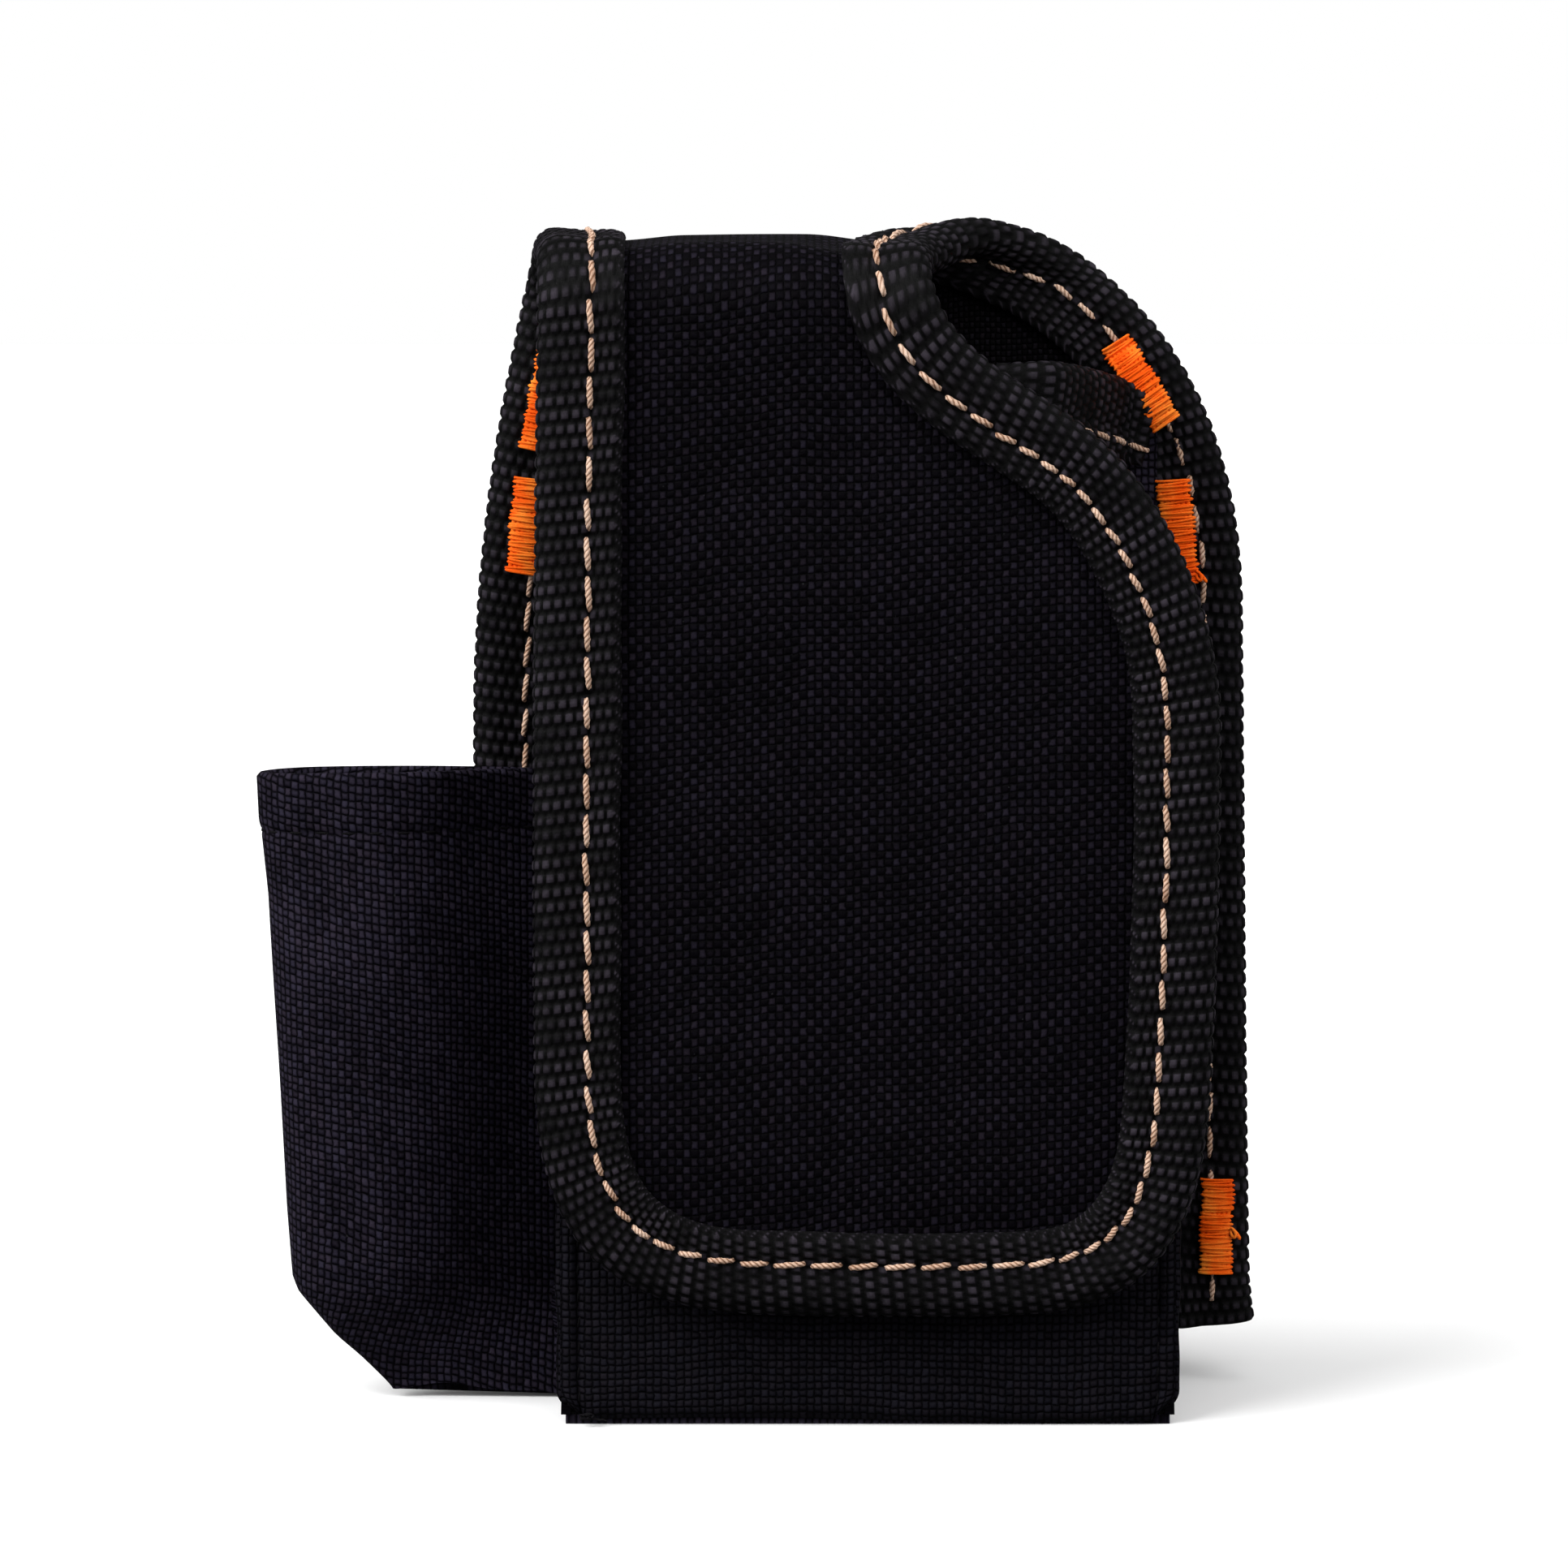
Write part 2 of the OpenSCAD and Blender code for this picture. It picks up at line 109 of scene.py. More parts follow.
def evenly(*values):
    """The values as arrays of one shape."""
    return np.broadcast_arrays(*(np.asarray(value, float) for value in values))


def flat_area(widths, rows):
    """The area of a sheet from its widths at each of its rows."""
    return float(np.sum((widths[1:] + widths[:-1]) / 2 * np.diff(rows)))


def ripple(a, b, waves, seed):
    """A gentle unevenness over a surface: a few long sine waves whose lengths are in millimetres."""
    draw = np.random.default_rng(seed)
    total = 0.0
    for length in waves:
        angle, phase = draw.uniform(0, 2 * math.pi, 2)
        total = total + np.sin((a * math.cos(angle) + b * math.sin(angle)) * 2 * math.pi / length + phase)
    return total / len(waves)


def curves(start, *bends):
    """Points along Bezier curves joined end to end. Each bend is two handles and an end."""
    t = np.linspace(0, 1, 24)[:, None]
    u = 1 - t
    points = []
    for bend in bends:
        p = [np.array(point, float) for point in (start, *bend)]
        points.append(u**3 * p[0] + 3 * u * u * t * p[1] + 3 * u * t * t * p[2] + t**3 * p[3])
        start = bend[-1]
    return np.vstack(points)


class Path:
    """A line in a flat pattern, sampled by its length, with the cloth on its right."""

    STEP = 0.4             # between samples
    BLUR = 8               # samples on each side that a corner is rounded over

    def __init__(self, points):
        points = np.vstack(points)
        keep = np.ones(len(points), bool)
        keep[1:] = np.linalg.norm(np.diff(points, axis=0), axis=1) > 1e-3
        points = points[keep]
        sums = run_along(points)
        self.length = sums[-1]
        self.t = np.linspace(0, self.length, int(self.length / self.STEP))
        dense = np.stack([np.interp(self.t, sums, points[:, k]) for k in (0, 1)], 1)
        kernel = np.hanning(2 * self.BLUR + 1)
        kernel /= kernel.sum()
        padded = np.pad(dense, ((self.BLUR, self.BLUR), (0, 0)), mode="reflect", reflect_type="odd")
        self.p = np.stack([np.convolve(padded[:, k], kernel, "valid") for k in (0, 1)], 1)
        d = unit(np.gradient(self.p, axis=0))
        self.n = np.stack([d[:, 1], -d[:, 0]], 1)

    def at(self, t, v):
        """The point a distance t along the line and v in from it."""
        point = np.stack([np.interp(t, self.t, self.p[:, k]) for k in (0, 1)], -1)
        inward = np.stack([np.interp(t, self.t, self.n[:, k]) for k in (0, 1)], -1)
        return point + inward * np.asarray(v)[..., None]

    def distance(self, a, b):
        """How far each pattern point is from the line."""
        flat = np.stack([np.ravel(a), np.ravel(b)], 1)
        best = np.full(len(flat), np.inf)
        line = self.p[::3]
        for part in np.array_split(line, max(1, len(line) // 60)):
            gaps = np.linalg.norm(flat[:, None, :] - part[None, :, :], axis=2)
            best = np.minimum(best, gaps.min(1))
        return best.reshape(np.shape(a))


class Shape:
    """Closed lofts gathered into one mesh."""

    def __init__(self):
        self.points, self.faces, self.uvs, self.count = [], [], [], 0
        self.relief = None

    def loft(self, rings, uv):
        """Joins rings of points, (rings, points, 3), and caps both ends. uv has a column more than rings."""
        rings = np.asarray(rings, float)
        rows, cols = rings.shape[:2]
        i, j = np.meshgrid(np.arange(rows - 1), np.arange(cols), indexing="ij")
        here, ahead, j2 = i * cols, (i + 1) * cols, (j + 1) % cols
        quads = np.stack([here + j, here + j2, ahead + j2, ahead + j], -1).reshape(-1, 4)
        corners = np.stack([uv[i, j], uv[i, j + 1], uv[i + 1, j + 1], uv[i + 1, j]], 2).reshape(-1, 4, 2)
        flat = rings.reshape(-1, 3)
        a, b, c, d = (flat[quads[:, k]] - flat.mean(0) for k in range(4))
        volume = np.einsum("ij,ij->", a, np.cross(b, c)) + np.einsum("ij,ij->", a, np.cross(c, d))
        if volume < 0:
            quads, corners = quads[:, ::-1], corners[:, ::-1]
        self.points.append(flat)
        self.faces += (quads + self.count).tolist()
        self.uvs.append(corners.reshape(-1, 2))
        for row, backward in ((0, volume > 0), (rows - 1, volume < 0)):
            order = np.arange(cols)[::-1] if backward else np.arange(cols)
            self.faces.append((row * cols + order + self.count).tolist())
            self.uvs.append(uv[row][order])
        self.count += len(flat)

    def build(self, name, material, sharp=None):
        """Makes the mesh. sharp is the angle in degrees from which an edge is left sharp."""
        mesh = bpy.data.meshes.new(name)
        mesh.from_pydata((np.vstack(self.points) * MM).tolist(), [], self.faces)
        layer = mesh.uv_layers.new(name="pattern")
        layer.data.foreach_set("uv", np.vstack(self.uvs).astype(np.float32).ravel())
        mesh.polygons.foreach_set("use_smooth", np.ones(len(mesh.polygons), bool))
        if self.relief is not None:
            relief = mesh.attributes.new("relief", "FLOAT", "POINT")
            relief.data.foreach_set("value", self.relief.astype(np.float32).ravel())
        if sharp:
            mesh.set_sharp_from_angle(angle=math.radians(sharp))
        mesh.materials.append(material)
        mesh.update()
        piece = bpy.data.objects.new(name, mesh)
        bpy.context.scene.collection.objects.link(piece)
        return piece


def tube(shape, line, radius, sides=6):
    """A closed thread along a line of points."""
    line = np.asarray(line, float)
    radius = np.broadcast_to(radius, len(line))
    d = unit(np.gradient(line, axis=0))
    side = unit(np.cross(d[0], [0.3, 0.5, 0.8]))
    angle = np.arange(sides) * 2 * math.pi / sides
    rings = []
    for point, ahead, reach in zip(line, d, radius):
        side = unit(side - ahead * (side @ ahead))
        ring = np.cos(angle)[:, None] * side + np.sin(angle)[:, None] * np.cross(ahead, side)
        rings.append(point + ring * reach)
    uv = np.zeros((len(line), sides + 1, 2))
    uv[..., 0] = run_along(line)[:, None]
    uv[..., 1] = np.linspace(0, 2 * math.pi * float(radius.max()), sides + 1)
    shape.loft(rings, uv)


# ---- the cover strip: up the back, over the neck and down the front as the flap ----
# Its pattern has x across and s along, from the middle of the neck, with the flap on the positive side.

BEND = 7.0             # radius of the strip's middle plane at both bends
NECK_MID = (joints["neck_fold"][1] + joints["flap_fold"][1]) / 2
INSET = 1.0            # from a joint's axis out to the strip's middle plane
NECK_Z = joints["flap_fold"][2] + INSET
BACK_Y = joints["neck_fold"][1] + INSET
LEAN = math.radians(2.4)
FRONT_TURN = math.pi / 2 - LEAN
BACK_TURN = math.pi / 2
FRONT_CORNER_Y = joints["flap_fold"][1] - INSET
FRONT_FLAT = NECK_MID - FRONT_CORNER_Y - BEND * math.tan(FRONT_TURN / 2)
BACK_FLAT = BACK_Y - NECK_MID - BEND * math.tan(BACK_TURN / 2)
FRONT_END = FRONT_FLAT + BEND * FRONT_TURN    # from the middle of the neck along to a bend's far end
BACK_END = BACK_FLAT + BEND * BACK_TURN


def strip(x, s, n):
    """The place of a pattern point, n out from the strip's middle plane."""
    x, s, n = evenly(x, s, n)
    side = np.where(s >= 0, -1.0, 1.0)
    flat = np.where(s >= 0, FRONT_FLAT, BACK_FLAT)
    turn = np.where(s >= 0, FRONT_TURN, BACK_TURN)
    run = np.abs(s)
    a = np.clip((run - flat) / BEND, 0, turn)
    rest = np.maximum(run - flat - BEND * turn, 0)
    y = NECK_MID + side * (np.minimum(run, flat) + BEND * np.sin(a) + rest * np.cos(a))
    z = NECK_Z - BEND * (1 - np.cos(a)) - rest * np.sin(a)
    # the front fold sags a little, and the back one rises into an arch on its right; both are pressed thinner
    sag = (1.35 + 0.75 * smooth((x - 4) / 10)) * smooth((s + 12) / 20) * smooth((95 - s) / 80)
    arch = (2.3 * smooth((x - 13) / 16) - 0.45) * smooth(-s / 12) * smooth((80 + s) / 60)
    z = z - sag + arch
    # the flap's foot curls in towards the pocket
    y = y + 0.9 * smooth((s - front_s(22)) / 8)
    # the back's lower right corner is pulled up
    z = z + 0.13 * np.maximum(x - 53, 0) * smooth((back_s(15) - s) / 9)
    n = n * (1 - 0.15 * bell(s, 24))
    return np.stack([x, y + side * np.sin(a) * n, z + np.cos(a) * n], -1)


def front_s(z):
    """The pattern's s at a height z on the flap."""
    return FRONT_END - BEND * math.tan(FRONT_TURN / 2) + (NECK_Z - z) / math.cos(LEAN)


def back_s(z):
    """The pattern's s at a height z on the back."""
    return -(BACK_END - BEND * math.tan(BACK_TURN / 2) + NECK_Z - z)


def flap(x, z):
    """A pattern point at a height z on the flap."""
    return x, front_s(z)


def back(x, z):
    """A pattern point at a height z on the back."""
    return x, back_s(z)


# up the left of the back; over the neck and down the left of the flap; round the flap's foot; up its right,
# round the notch and over the neck again; down the right of the back
outline = Path([[back(-36.3, 5.2)], curves(
    back(-35.9, 82), (back(-35.9, 108), back(-31.4, 128), back(-28.4, 141)),
    ((-27.4, -6), (-26.4, 4), flap(-26.4, 136)), (flap(-26.8, 110), flap(-27.3, 75), flap(-27.0, 43)),
    (flap(-26.6, 24), flap(-19, 15.4), flap(0, 14.8)), (flap(12, 14.4), flap(22, 14.4), flap(32, 14.8)),
    (flap(46, 15.4), flap(53.4, 23), flap(54.0, 44)), (flap(54.6, 58), flap(54.9, 70), flap(54.9, 86)),
    (flap(54.9, 101), flap(47.5, 117.2), flap(37.2, 124.2)),
    (flap(28.5, 130.1), flap(20.0, 134), flap(20.1, 143.4)), ((20.2, 2), (23.5, -6.2), (33, -10.4)),
    ((44.5, -15.4), (59.7, -29), back(59.9, 97)),
), [back(60.9, 40), back(61.5, 13), back(62.2, 5.4)]])

TAPE = 10.3            # width of tape that shows on each side of an edge
PICK = 1.76            # from one row of the tape's weave to the next
SELVEDGE = 1.1         # width of the tape's plain outer thread
NARROW = 1.1           # width of each of the three columns of weave next to it
WIDE = 1.3             # width of the columns further in
STAGGER = 0.4          # columns by which every other row of the weave is shifted
SEAM = 6.3             # from an edge in to its row of stitches
PITCH = 4.6            # from one stitch to the next
THREAD = 0.36          # radius of the sewing thread
CLOTH_EDGE = 8.4       # from the strip's edge in to its cloth's, under the tape


def split_near(condition):
    """The length along the outline where the condition first holds, on a whole row of the tape's weave."""
    return round(outline.t[np.argmax(condition)] / PICK) * PICK


over_left = split_near(outline.p[:, 1] >= 0)
second_half = outline.t > outline.length / 2
over_right = split_near(second_half & (outline.p[:, 1] <= 0))


def stitch_ends(start, end, pitch):
    """Places of the needle holes along a path. pitch is a length, or a function of the place."""
    ends = [start]
    while ends[-1] < end:
        ends.append(ends[-1] + (pitch(ends[-1]) if callable(pitch) else pitch))
    return np.array(ends[:-1])


# the flap was sewn with shorter stitches as the seam turned round its notch
notch_start, notch_top = (outline.t[np.argmax(second_half & (outline.p[:, 1] <= front_s(z)))]
                          for z in (102, 138))
pitch_places = [over_left, over_left + 30, notch_start - 140, notch_start - 25, notch_start + 12,
                notch_top - 8, notch_top + 4]
pitches = [3.6, 4.95, 4.5, 4.3, 3.5, 3.3, 2.5]
flap_holes = stitch_ends(over_left, over_right, lambda t: np.interp(t, pitch_places, pitches))


def weave_columns(across):
    """Places across a tape, in from one selvedge to the fold, and the weave's column number at each."""
    wide = (across / 2 - SELVEDGE - 3 * NARROW) / WIDE
    number = np.arange(0, 3 + wide, 0.2)
    place = SELVEDGE + np.where(number < 3, number * NARROW, 3 * NARROW + (number - 3) * WIDE)
    place = np.concatenate([[0, 0.4, 0.8], place])
    number = np.concatenate([[-1, -0.6, -0.3], number])
    keep = place < across / 2 - 0.1
    return place[keep], number[keep]


def weave_bumps(t, column, seed):
    """The weave's relief, 0 to 1: scales in rows along t, every other row shifted by part of a column."""
    row = np.floor(t / PICK + 1e-6)
    along = t / PICK - row
    at = column + STAGGER * np.mod(row, 2)
    cell = np.floor(at + 1e-6)
    across = at - cell
    scale = np.clip(np.sin(math.pi * along.clip(0, 1) ** 1.3), 0, 1) ** 0.24
    scale = scale * np.clip(np.sin(math.pi * across.clip(0, 1)), 0, 1) ** 0.2
    uneven = 0.94 + 0.06 * np.sin(cell * 12.9898 + row * 7.233 + seed)
    return np.where(column < 0, 0.6 + 0.4 * np.sin(2 * math.pi * (t / PICK + 0.8 * column)), scale * uneven)


def tape_section(half):
    """The outside of a tape folded over an edge: points (v, n), from its front's inner edge to its back's."""
    def puff(v):
        swell = 0.10 * bell(v - 2.6, 1.8) - 0.10 * bell(v - SEAM, 1.0) + 0.03 * bell(v - 8.4, 1.0)
        return half * (1 + swell) - 0.35 * smooth((v - TAPE + 1.2) / 1.2)

    v = np.linspace(TAPE, half, 40)
    front = np.stack([v, puff(v)], 1)
    a = np.linspace(math.pi / 2, -math.pi / 2, 25)[1:-1]
    edge = np.stack([half - half * np.cos(a), puff(half) * np.sin(a)], 1)
    return np.vstack([front, edge, front[::-1] * [1, -1]])


def tape(path, place, half, inner_half, bump, seed, start=0, end=None, holes=None, sewn=lambda t: SEAM):
    """Webbing folded over the edge of cloth along part of a path, with every crossing of its weave modelled.
    half is its half-thickness outside and inner_half inside. holes are the needle's places along the path,
    and sewn is how far in from the edge they lie."""
    end = math.floor(path.length / PICK) * PICK if end is None else end
    holes = stitch_ends(start, end, PITCH) if holes is None else holes
    rows = int(round((end - start) / PICK)) * 4
    t = start + np.arange(rows + 1) * PICK / 4
    section = tape_section(half)
    sums = run_along(section)
    q, column = weave_columns(sums[-1])
    q, column = np.concatenate([q, sums[-1] - q[::-1]]), np.concatenate([column, column[::-1]])
    v, n = np.interp(q, sums, section[:, 0]), np.interp(q, sums, section[:, 1])
    dv, dn = np.gradient(v, q), np.gradient(n, q)
    size = np.hypot(dv, dn)
    out_v, out_n = dn / size, -dv / size
    grid_t, grid_q = np.meshgrid(t, q, indexing="ij")
    relief = weave_bumps(grid_t, column[None, :], seed)
    # the rows slant a little across the tape
    grid_t = grid_t + 0.12 * (np.minimum(grid_q, sums[-1] - grid_q) - sums[-1] / 4)
    # the seam pulls the tape in at each needle hole
    nearest = np.searchsorted((holes[1:] + holes[:-1]) / 2, grid_t)
    hole = (grid_t - holes[nearest]) ** 2 + (v[None, :] - sewn(grid_t)) ** 2
    high = relief * bump - 0.45 * np.exp(-hole / 0.36)
    # no tape is sewn on quite evenly
    uneven = ripple(grid_t, grid_q * 0, (21, 34, 55), seed)
    swell = 1 + 0.05 * ripple(grid_t, v[None, :] * 3, (13, 23, 37), seed + 1)
    flat = path.at(grid_t, v[None, :] * (1 + 0.02 * uneven) + high * out_v[None, :])
    outer = place(flat[..., 0], flat[..., 1], n[None, :] * swell + high * out_n[None, :])
    inside_v = np.broadcast_to([TAPE - 0.1, 1.2, 1.2, TAPE - 0.1], (rows + 1, 4))
    inside_n = np.broadcast_to([-inner_half, -inner_half, inner_half, inner_half], (rows + 1, 4))
    flat = path.at(grid_t[:, [-1, -4, 3, 0]], inside_v)
    rings = np.concatenate([outer, place(flat[..., 0], flat[..., 1], inside_n)], 1)
    uv = np.zeros((rows + 1, rings.shape[1] + 1, 2))
    uv[..., 0] = t[:, None]
    uv[:, :len(q), 0] = grid_t
    uv[:, :len(q), 1] = q[None, :]
    uv[:, len(q):, 1] = sums[-1] + np.arange(5)[None, :] * 5
    shape = Shape()
    shape.loft(rings, uv)
    # the weave's relief is kept on the mesh, where the webbing's material paints shade and highlight from it
    shape.relief = np.concatenate([relief, np.full((rows + 1, 4), 0.3)], 1)
    return shape


def stitch(shape, line, normals, long, radius, sides=12):
    """One stitch of three-ply thread that dives into the cloth at both ends."""
    side = unit(np.cross(np.gradient(line, axis=0), normals))
    u = np.linspace(0, 1, len(line))
    rise = -0.5 + 0.76 * np.sin(math.pi * u) ** 0.45
    centre = line + normals * rise[:, None]
    angle = np.arange(sides) * 2 * math.pi / sides
    thin = 0.55 + 0.45 * np.sin(math.pi * np.clip(u * 1.02, 0, 1)) ** 0.35
    twist = angle[None, :] - 2 * math.pi * u[:, None] * long / 3.4
    radii = radius * thin[:, None] * (1 + 0.17 * np.cos(3 * twist))
    ring = np.cos(angle)[:, None] * side[:, None, :] + np.sin(angle)[:, None] * normals[:, None, :]
    uv = np.zeros((len(line), sides + 1, 2))
    uv[..., 0] = (u * long)[:, None]
    uv[..., 1] = np.linspace(0, 2.6, sides + 1)[None, :]
    shape.loft(centre[:, None, :] + ring * radii[..., None], uv)


def seam(shape, path, holes, place, v, level, face=1, between=0.62, drift=0.16, seed=3, radius=THREAD):
    """A row of stitches v in from a path, on the face at the height level over the pattern. between is the
    gap from one stitch to the next."""
    draw = np.random.default_rng(seed)
    for first, last in zip(holes[:-1], holes[1:]):
        jitter = draw.normal(0, 0.07, 3)
        reach = np.linspace(-1, 1, 15)
        long = last - first - between + 2 * jitter[0]
        t = (first + last) / 2 + reach * long / 2
        inset = v(t) if callable(v) else v
        flat = path.at(t, inset + reach * (drift + jitter[1]) + jitter[2])
        line = place(flat[:, 0], flat[:, 1], face * level)
        above = place(flat[:, 0], flat[:, 1], face * (level + 1.0))
        stitch(shape, line, unit(above - line), long, radius)


def cloth_sides(s_values):
    """The left and right ends, across, of the strip's cloth at each s."""
    inner = outline.p + outline.n * CLOTH_EDGE
    turn = np.argmax(inner[:, 1])
    ends = []
    for branch in (inner[:turn + 1], inner[turn:][::-1]):
        order = np.argsort(branch[:, 1], kind="stable")
        ends.append(np.interp(s_values, branch[order, 1], branch[order, 0]))
    return ends


def sandwich(top, bottom, flat):
    """A closed sheet between two grids of points, with its pattern coordinates."""
    shape = Shape()
    shape.loft(np.concatenate([top, bottom[:, ::-1]], 1),
               np.concatenate([flat, flat[:, ::-1], flat[:, :1]], 1))
    return shape


def layer(s_values, top, bottom, cols):
    """A sheet of the strip between two heights over its pattern, then its area, width and length in metres.
    top and bottom are functions of x, s and the distance in from the strip's bound edge."""
    left, right = cloth_sides(s_values)
    x = left[:, None] + (right - left)[:, None] * np.linspace(0, 1, cols)[None, :]
    s = np.repeat(s_values[:, None], cols, 1)
    depth = outline.distance(x, s)
    shape = sandwich(strip(x, s, top(x, s, depth)), strip(x, s, bottom(x, s, depth)), np.stack([x, s], -1))
    wide, long = right - left, float(s_values[-1] - s_values[0])
    return shape, flat_area(wide, s_values) * MM * MM, float(wide.max()) * MM, long * MM


# ---- materials ----

class Value:
    """A number that a material works out at each point: a node's output. Arithmetic on it adds more nodes."""

    def __init__(self, nodes, socket):
        self.nodes, self.socket = nodes, socket

    def __add__(self, other):
        return self.nodes.math("ADD", self, other)

    def __sub__(self, other):
        return self.nodes.math("SUBTRACT", self, other)

    def __rsub__(self, other):
        return self.nodes.math("SUBTRACT", other, self)

    def __mul__(self, other):
        return self.nodes.math("MULTIPLY", self, other)

    def __truediv__(self, other):
        return self.nodes.math("DIVIDE", self, other)

    def floor(self):
        return self.nodes.math("FLOOR", self)

    def fract(self):
        return self.nodes.math("FRACT", self)

    def hump(self, half_width, power):
        """A rounded hump of a value from 0 to 1: 1 half-way, and 0 beyond the half width from there."""
        near = self.nodes.math("ABSOLUTE", self - 0.5) / half_width
        return self.nodes.math("MAXIMUM", 1.0 - self.nodes.math("POWER", near, power), 0.0)


class Nodes:
    """A small helper for building one material's nodes."""

    def __init__(self, name, **shader):
        self.material = bpy.data.materials.new(name)
        self.material.use_nodes = True
        self.tree = self.material.node_tree
        self.shader = self.tree.nodes["Principled BSDF"]
        for key, value in shader.items():
            self.shader.inputs[key.replace("_", " ")].default_value = value

    def feed(self, socket, value):
        """Links another node's output to a socket, or sets the socket."""
        value = value.socket if isinstance(value, Value) else value
        if isinstance(value, bpy.types.NodeSocket):
            self.tree.links.new(value, socket)
        else:
            socket.default_value = (*value, 1) if socket.type == "RGBA" else value

    def add(self, kind, inputs=(), **settings):
        node = self.tree.nodes.new(kind)
        for key, value in settings.items():
            setattr(node, key, value)
        for key, value in dict(inputs).items():
            self.feed(node.inputs[key], value)
        return node

    def math(self, operation, *values):
        return Value(self, self.add("ShaderNodeMath", enumerate(values), operation=operation).outputs[0])

    def ramp(self, value, *stops):
        node = self.add("ShaderNodeValToRGB", {"Fac": value})
        for k, (position, colour) in enumerate(stops):
            if k >= 2:
                node.color_ramp.elements.new(position)
            element = node.color_ramp.elements[k]
            element.position = position
            element.color = (*colour, 1)
        return node.outputs["Color"]

    def mix(self, factor, a, b, blend="MIX"):
        inputs = {0: factor, 6: a, 7: b}
        return self.add("ShaderNodeMix", inputs, data_type="RGBA", blend_type=blend).outputs[2]

    def noise(self, coordinates, scale, detail=2.0, rough=0.55, stretch=None):
        if stretch:
            coordinates = self.add("ShaderNodeMapping", {"Vector": coordinates, "Scale": stretch}).outputs[0]
        inputs = {"Vector": coordinates, "Scale": scale, "Detail": detail, "Roughness": rough}
        return Value(self, self.add("ShaderNodeTexNoise", inputs).outputs["Fac"])

    def random(self, number):
        """A random value from 0 to 1 for each number."""
        node = self.add("ShaderNodeTexWhiteNoise", {"W": number}, noise_dimensions="1D")
        return Value(self, node.outputs["Value"])

    def pattern(self):
        """The pattern's own coordinates in millimetres: a vector, and its two parts."""
        vector = self.add("ShaderNodeUVMap", uv_map="pattern").outputs[0]
        parts = self.add("ShaderNodeSeparateXYZ", {"Vector": vector}).outputs
        return vector, Value(self, parts[0]), Value(self, parts[1])

    def place(self):
        """The place on the piece, in metres."""
        return self.add("ShaderNodeTexCoord").outputs["Object"]

    def finish(self, colour, gloss, height, distance):
        """The material, with a bump whose height is scaled to a distance in metres."""
        bump = self.add("ShaderNodeBump", {"Height": height, "Distance": distance, "Strength": 1.0})
        for key, value in (("Base Color", colour), ("Roughness", gloss), ("Normal", bump.outputs[0])):
            self.feed(self.shader.inputs[key], value)
        return self.material


def woven_cloth(name, gap, body, crown, across=0.93, along=0.97, tip=(0.55, 1.15), sunk=0.4, depth=0.0003,
                slope=0.0):
    """A plain weave of coarse filament yarns, across and along apart. At every other crossing an upright
    float stands proud, and between them the cross yarns show, sunk. Its colour is painted with light and
    shade:
    each proud float carries a painted highlight that brightens from one end to the other, as its two end
    brightnesses are given, the sunk cross yarns and the gaps are painted dark as shade, and the crowns light."""
    m = Nodes(name, Specular_IOR_Level=0.018)
    vector, u, v = m.pattern()
    slow = m.add("ShaderNodeVectorMath", {0: vector, "Scale": 0.045}, operation="SCALE").outputs[0]
    jitter = (m.noise(vector, 0.8) - 0.5) * 0.4
    v = v + (m.noise(slow, 1.0) - 0.5) * 3.0 + jitter + u * slope
    row_at, column_at = v / along, (u + jitter) / across
    row, column, fv, fu = row_at.floor(), column_at.floor(), row_at.fract(), column_at.fract()
    proud = ((row + column) * 0.5).fract() * 2.0
    cell = column * 3.7 + row * 1.3
    upright = proud * (fu.hump(0.48, 3.5) * fv.hump(0.56, 3.5))
    cross = (1.0 - proud) * (fu.hump(0.54, 3.0) * (fv.hump(0.46, 2.6) * sunk))
    fibres = m.noise(vector, 7.0, rough=0.6, stretch=(2.6, 0.6, 1.0))
    # painted highlight: each proud float is painted brighter towards one end, and the sunk cross yarns are
    # painted darker, as shade
    lit = upright * (fv * (tip[1] - tip[0]) + tip[0]) + cross
    vary = m.random(cell) * 0.4 + (m.noise(vector, 0.09, 3.0, 0.6) * 0.75 + 0.45)
    shade = (lit * 0.75 + fibres * 0.35) * vary
    # painted shade and highlight: near black where the weave sinks, the yarn's own colour between, and a
    # painted highlight on the proud crowns
    colour = m.ramp(shade, (0.05, gap), (0.42, body), (1.0, crown))
    colour = m.mix(m.random(cell + 0.5) * 0.6, colour, (1.1, 0.93, 0.82), "MULTIPLY")
    lint = m.ramp(m.noise(vector, 1.7, 1.0, 0.4), (0.79, (0, 0, 0)), (0.84, (1, 1, 1)))
    colour = m.mix(m.math("MULTIPLY", lint, 0.35), colour, (0.05, 0.05, 0.055))
    return m.finish(colour, fibres * 0.3 + 0.42, upright + cross + fibres * 0.2, depth)


def tape_material(name, gap, body, crown):
    """Filament webbing: each crossing is modelled, and its fine filaments are here. Its colour is painted
    from the
    modelled relief: shade near black in the hollows, and a painted highlight on the tops of the crossings.
    """
    m = Nodes(name, Specular_IOR_Level=0.065)
    vector = m.pattern()[0]
    relief = Value(m, m.add("ShaderNodeAttribute", attribute_name="relief").outputs["Fac"])
    filaments = m.noise(vector, 6.0, rough=0.6, stretch=(0.45, 3.0, 1.0))
    patches = m.noise(vector, 0.25, 3.0, 0.6)
    # painted shade and highlight from the relief on the mesh: dark in the hollows, light on the tops
    shade = (relief * 0.85 + filaments * 0.3) * (patches * 0.6 + 0.65)
    colour = m.ramp(shade, (0.36, gap), (0.74, body), (1.0, crown))
    return m.finish(colour, filaments * 0.25 + 0.4, filaments, 0.0001)


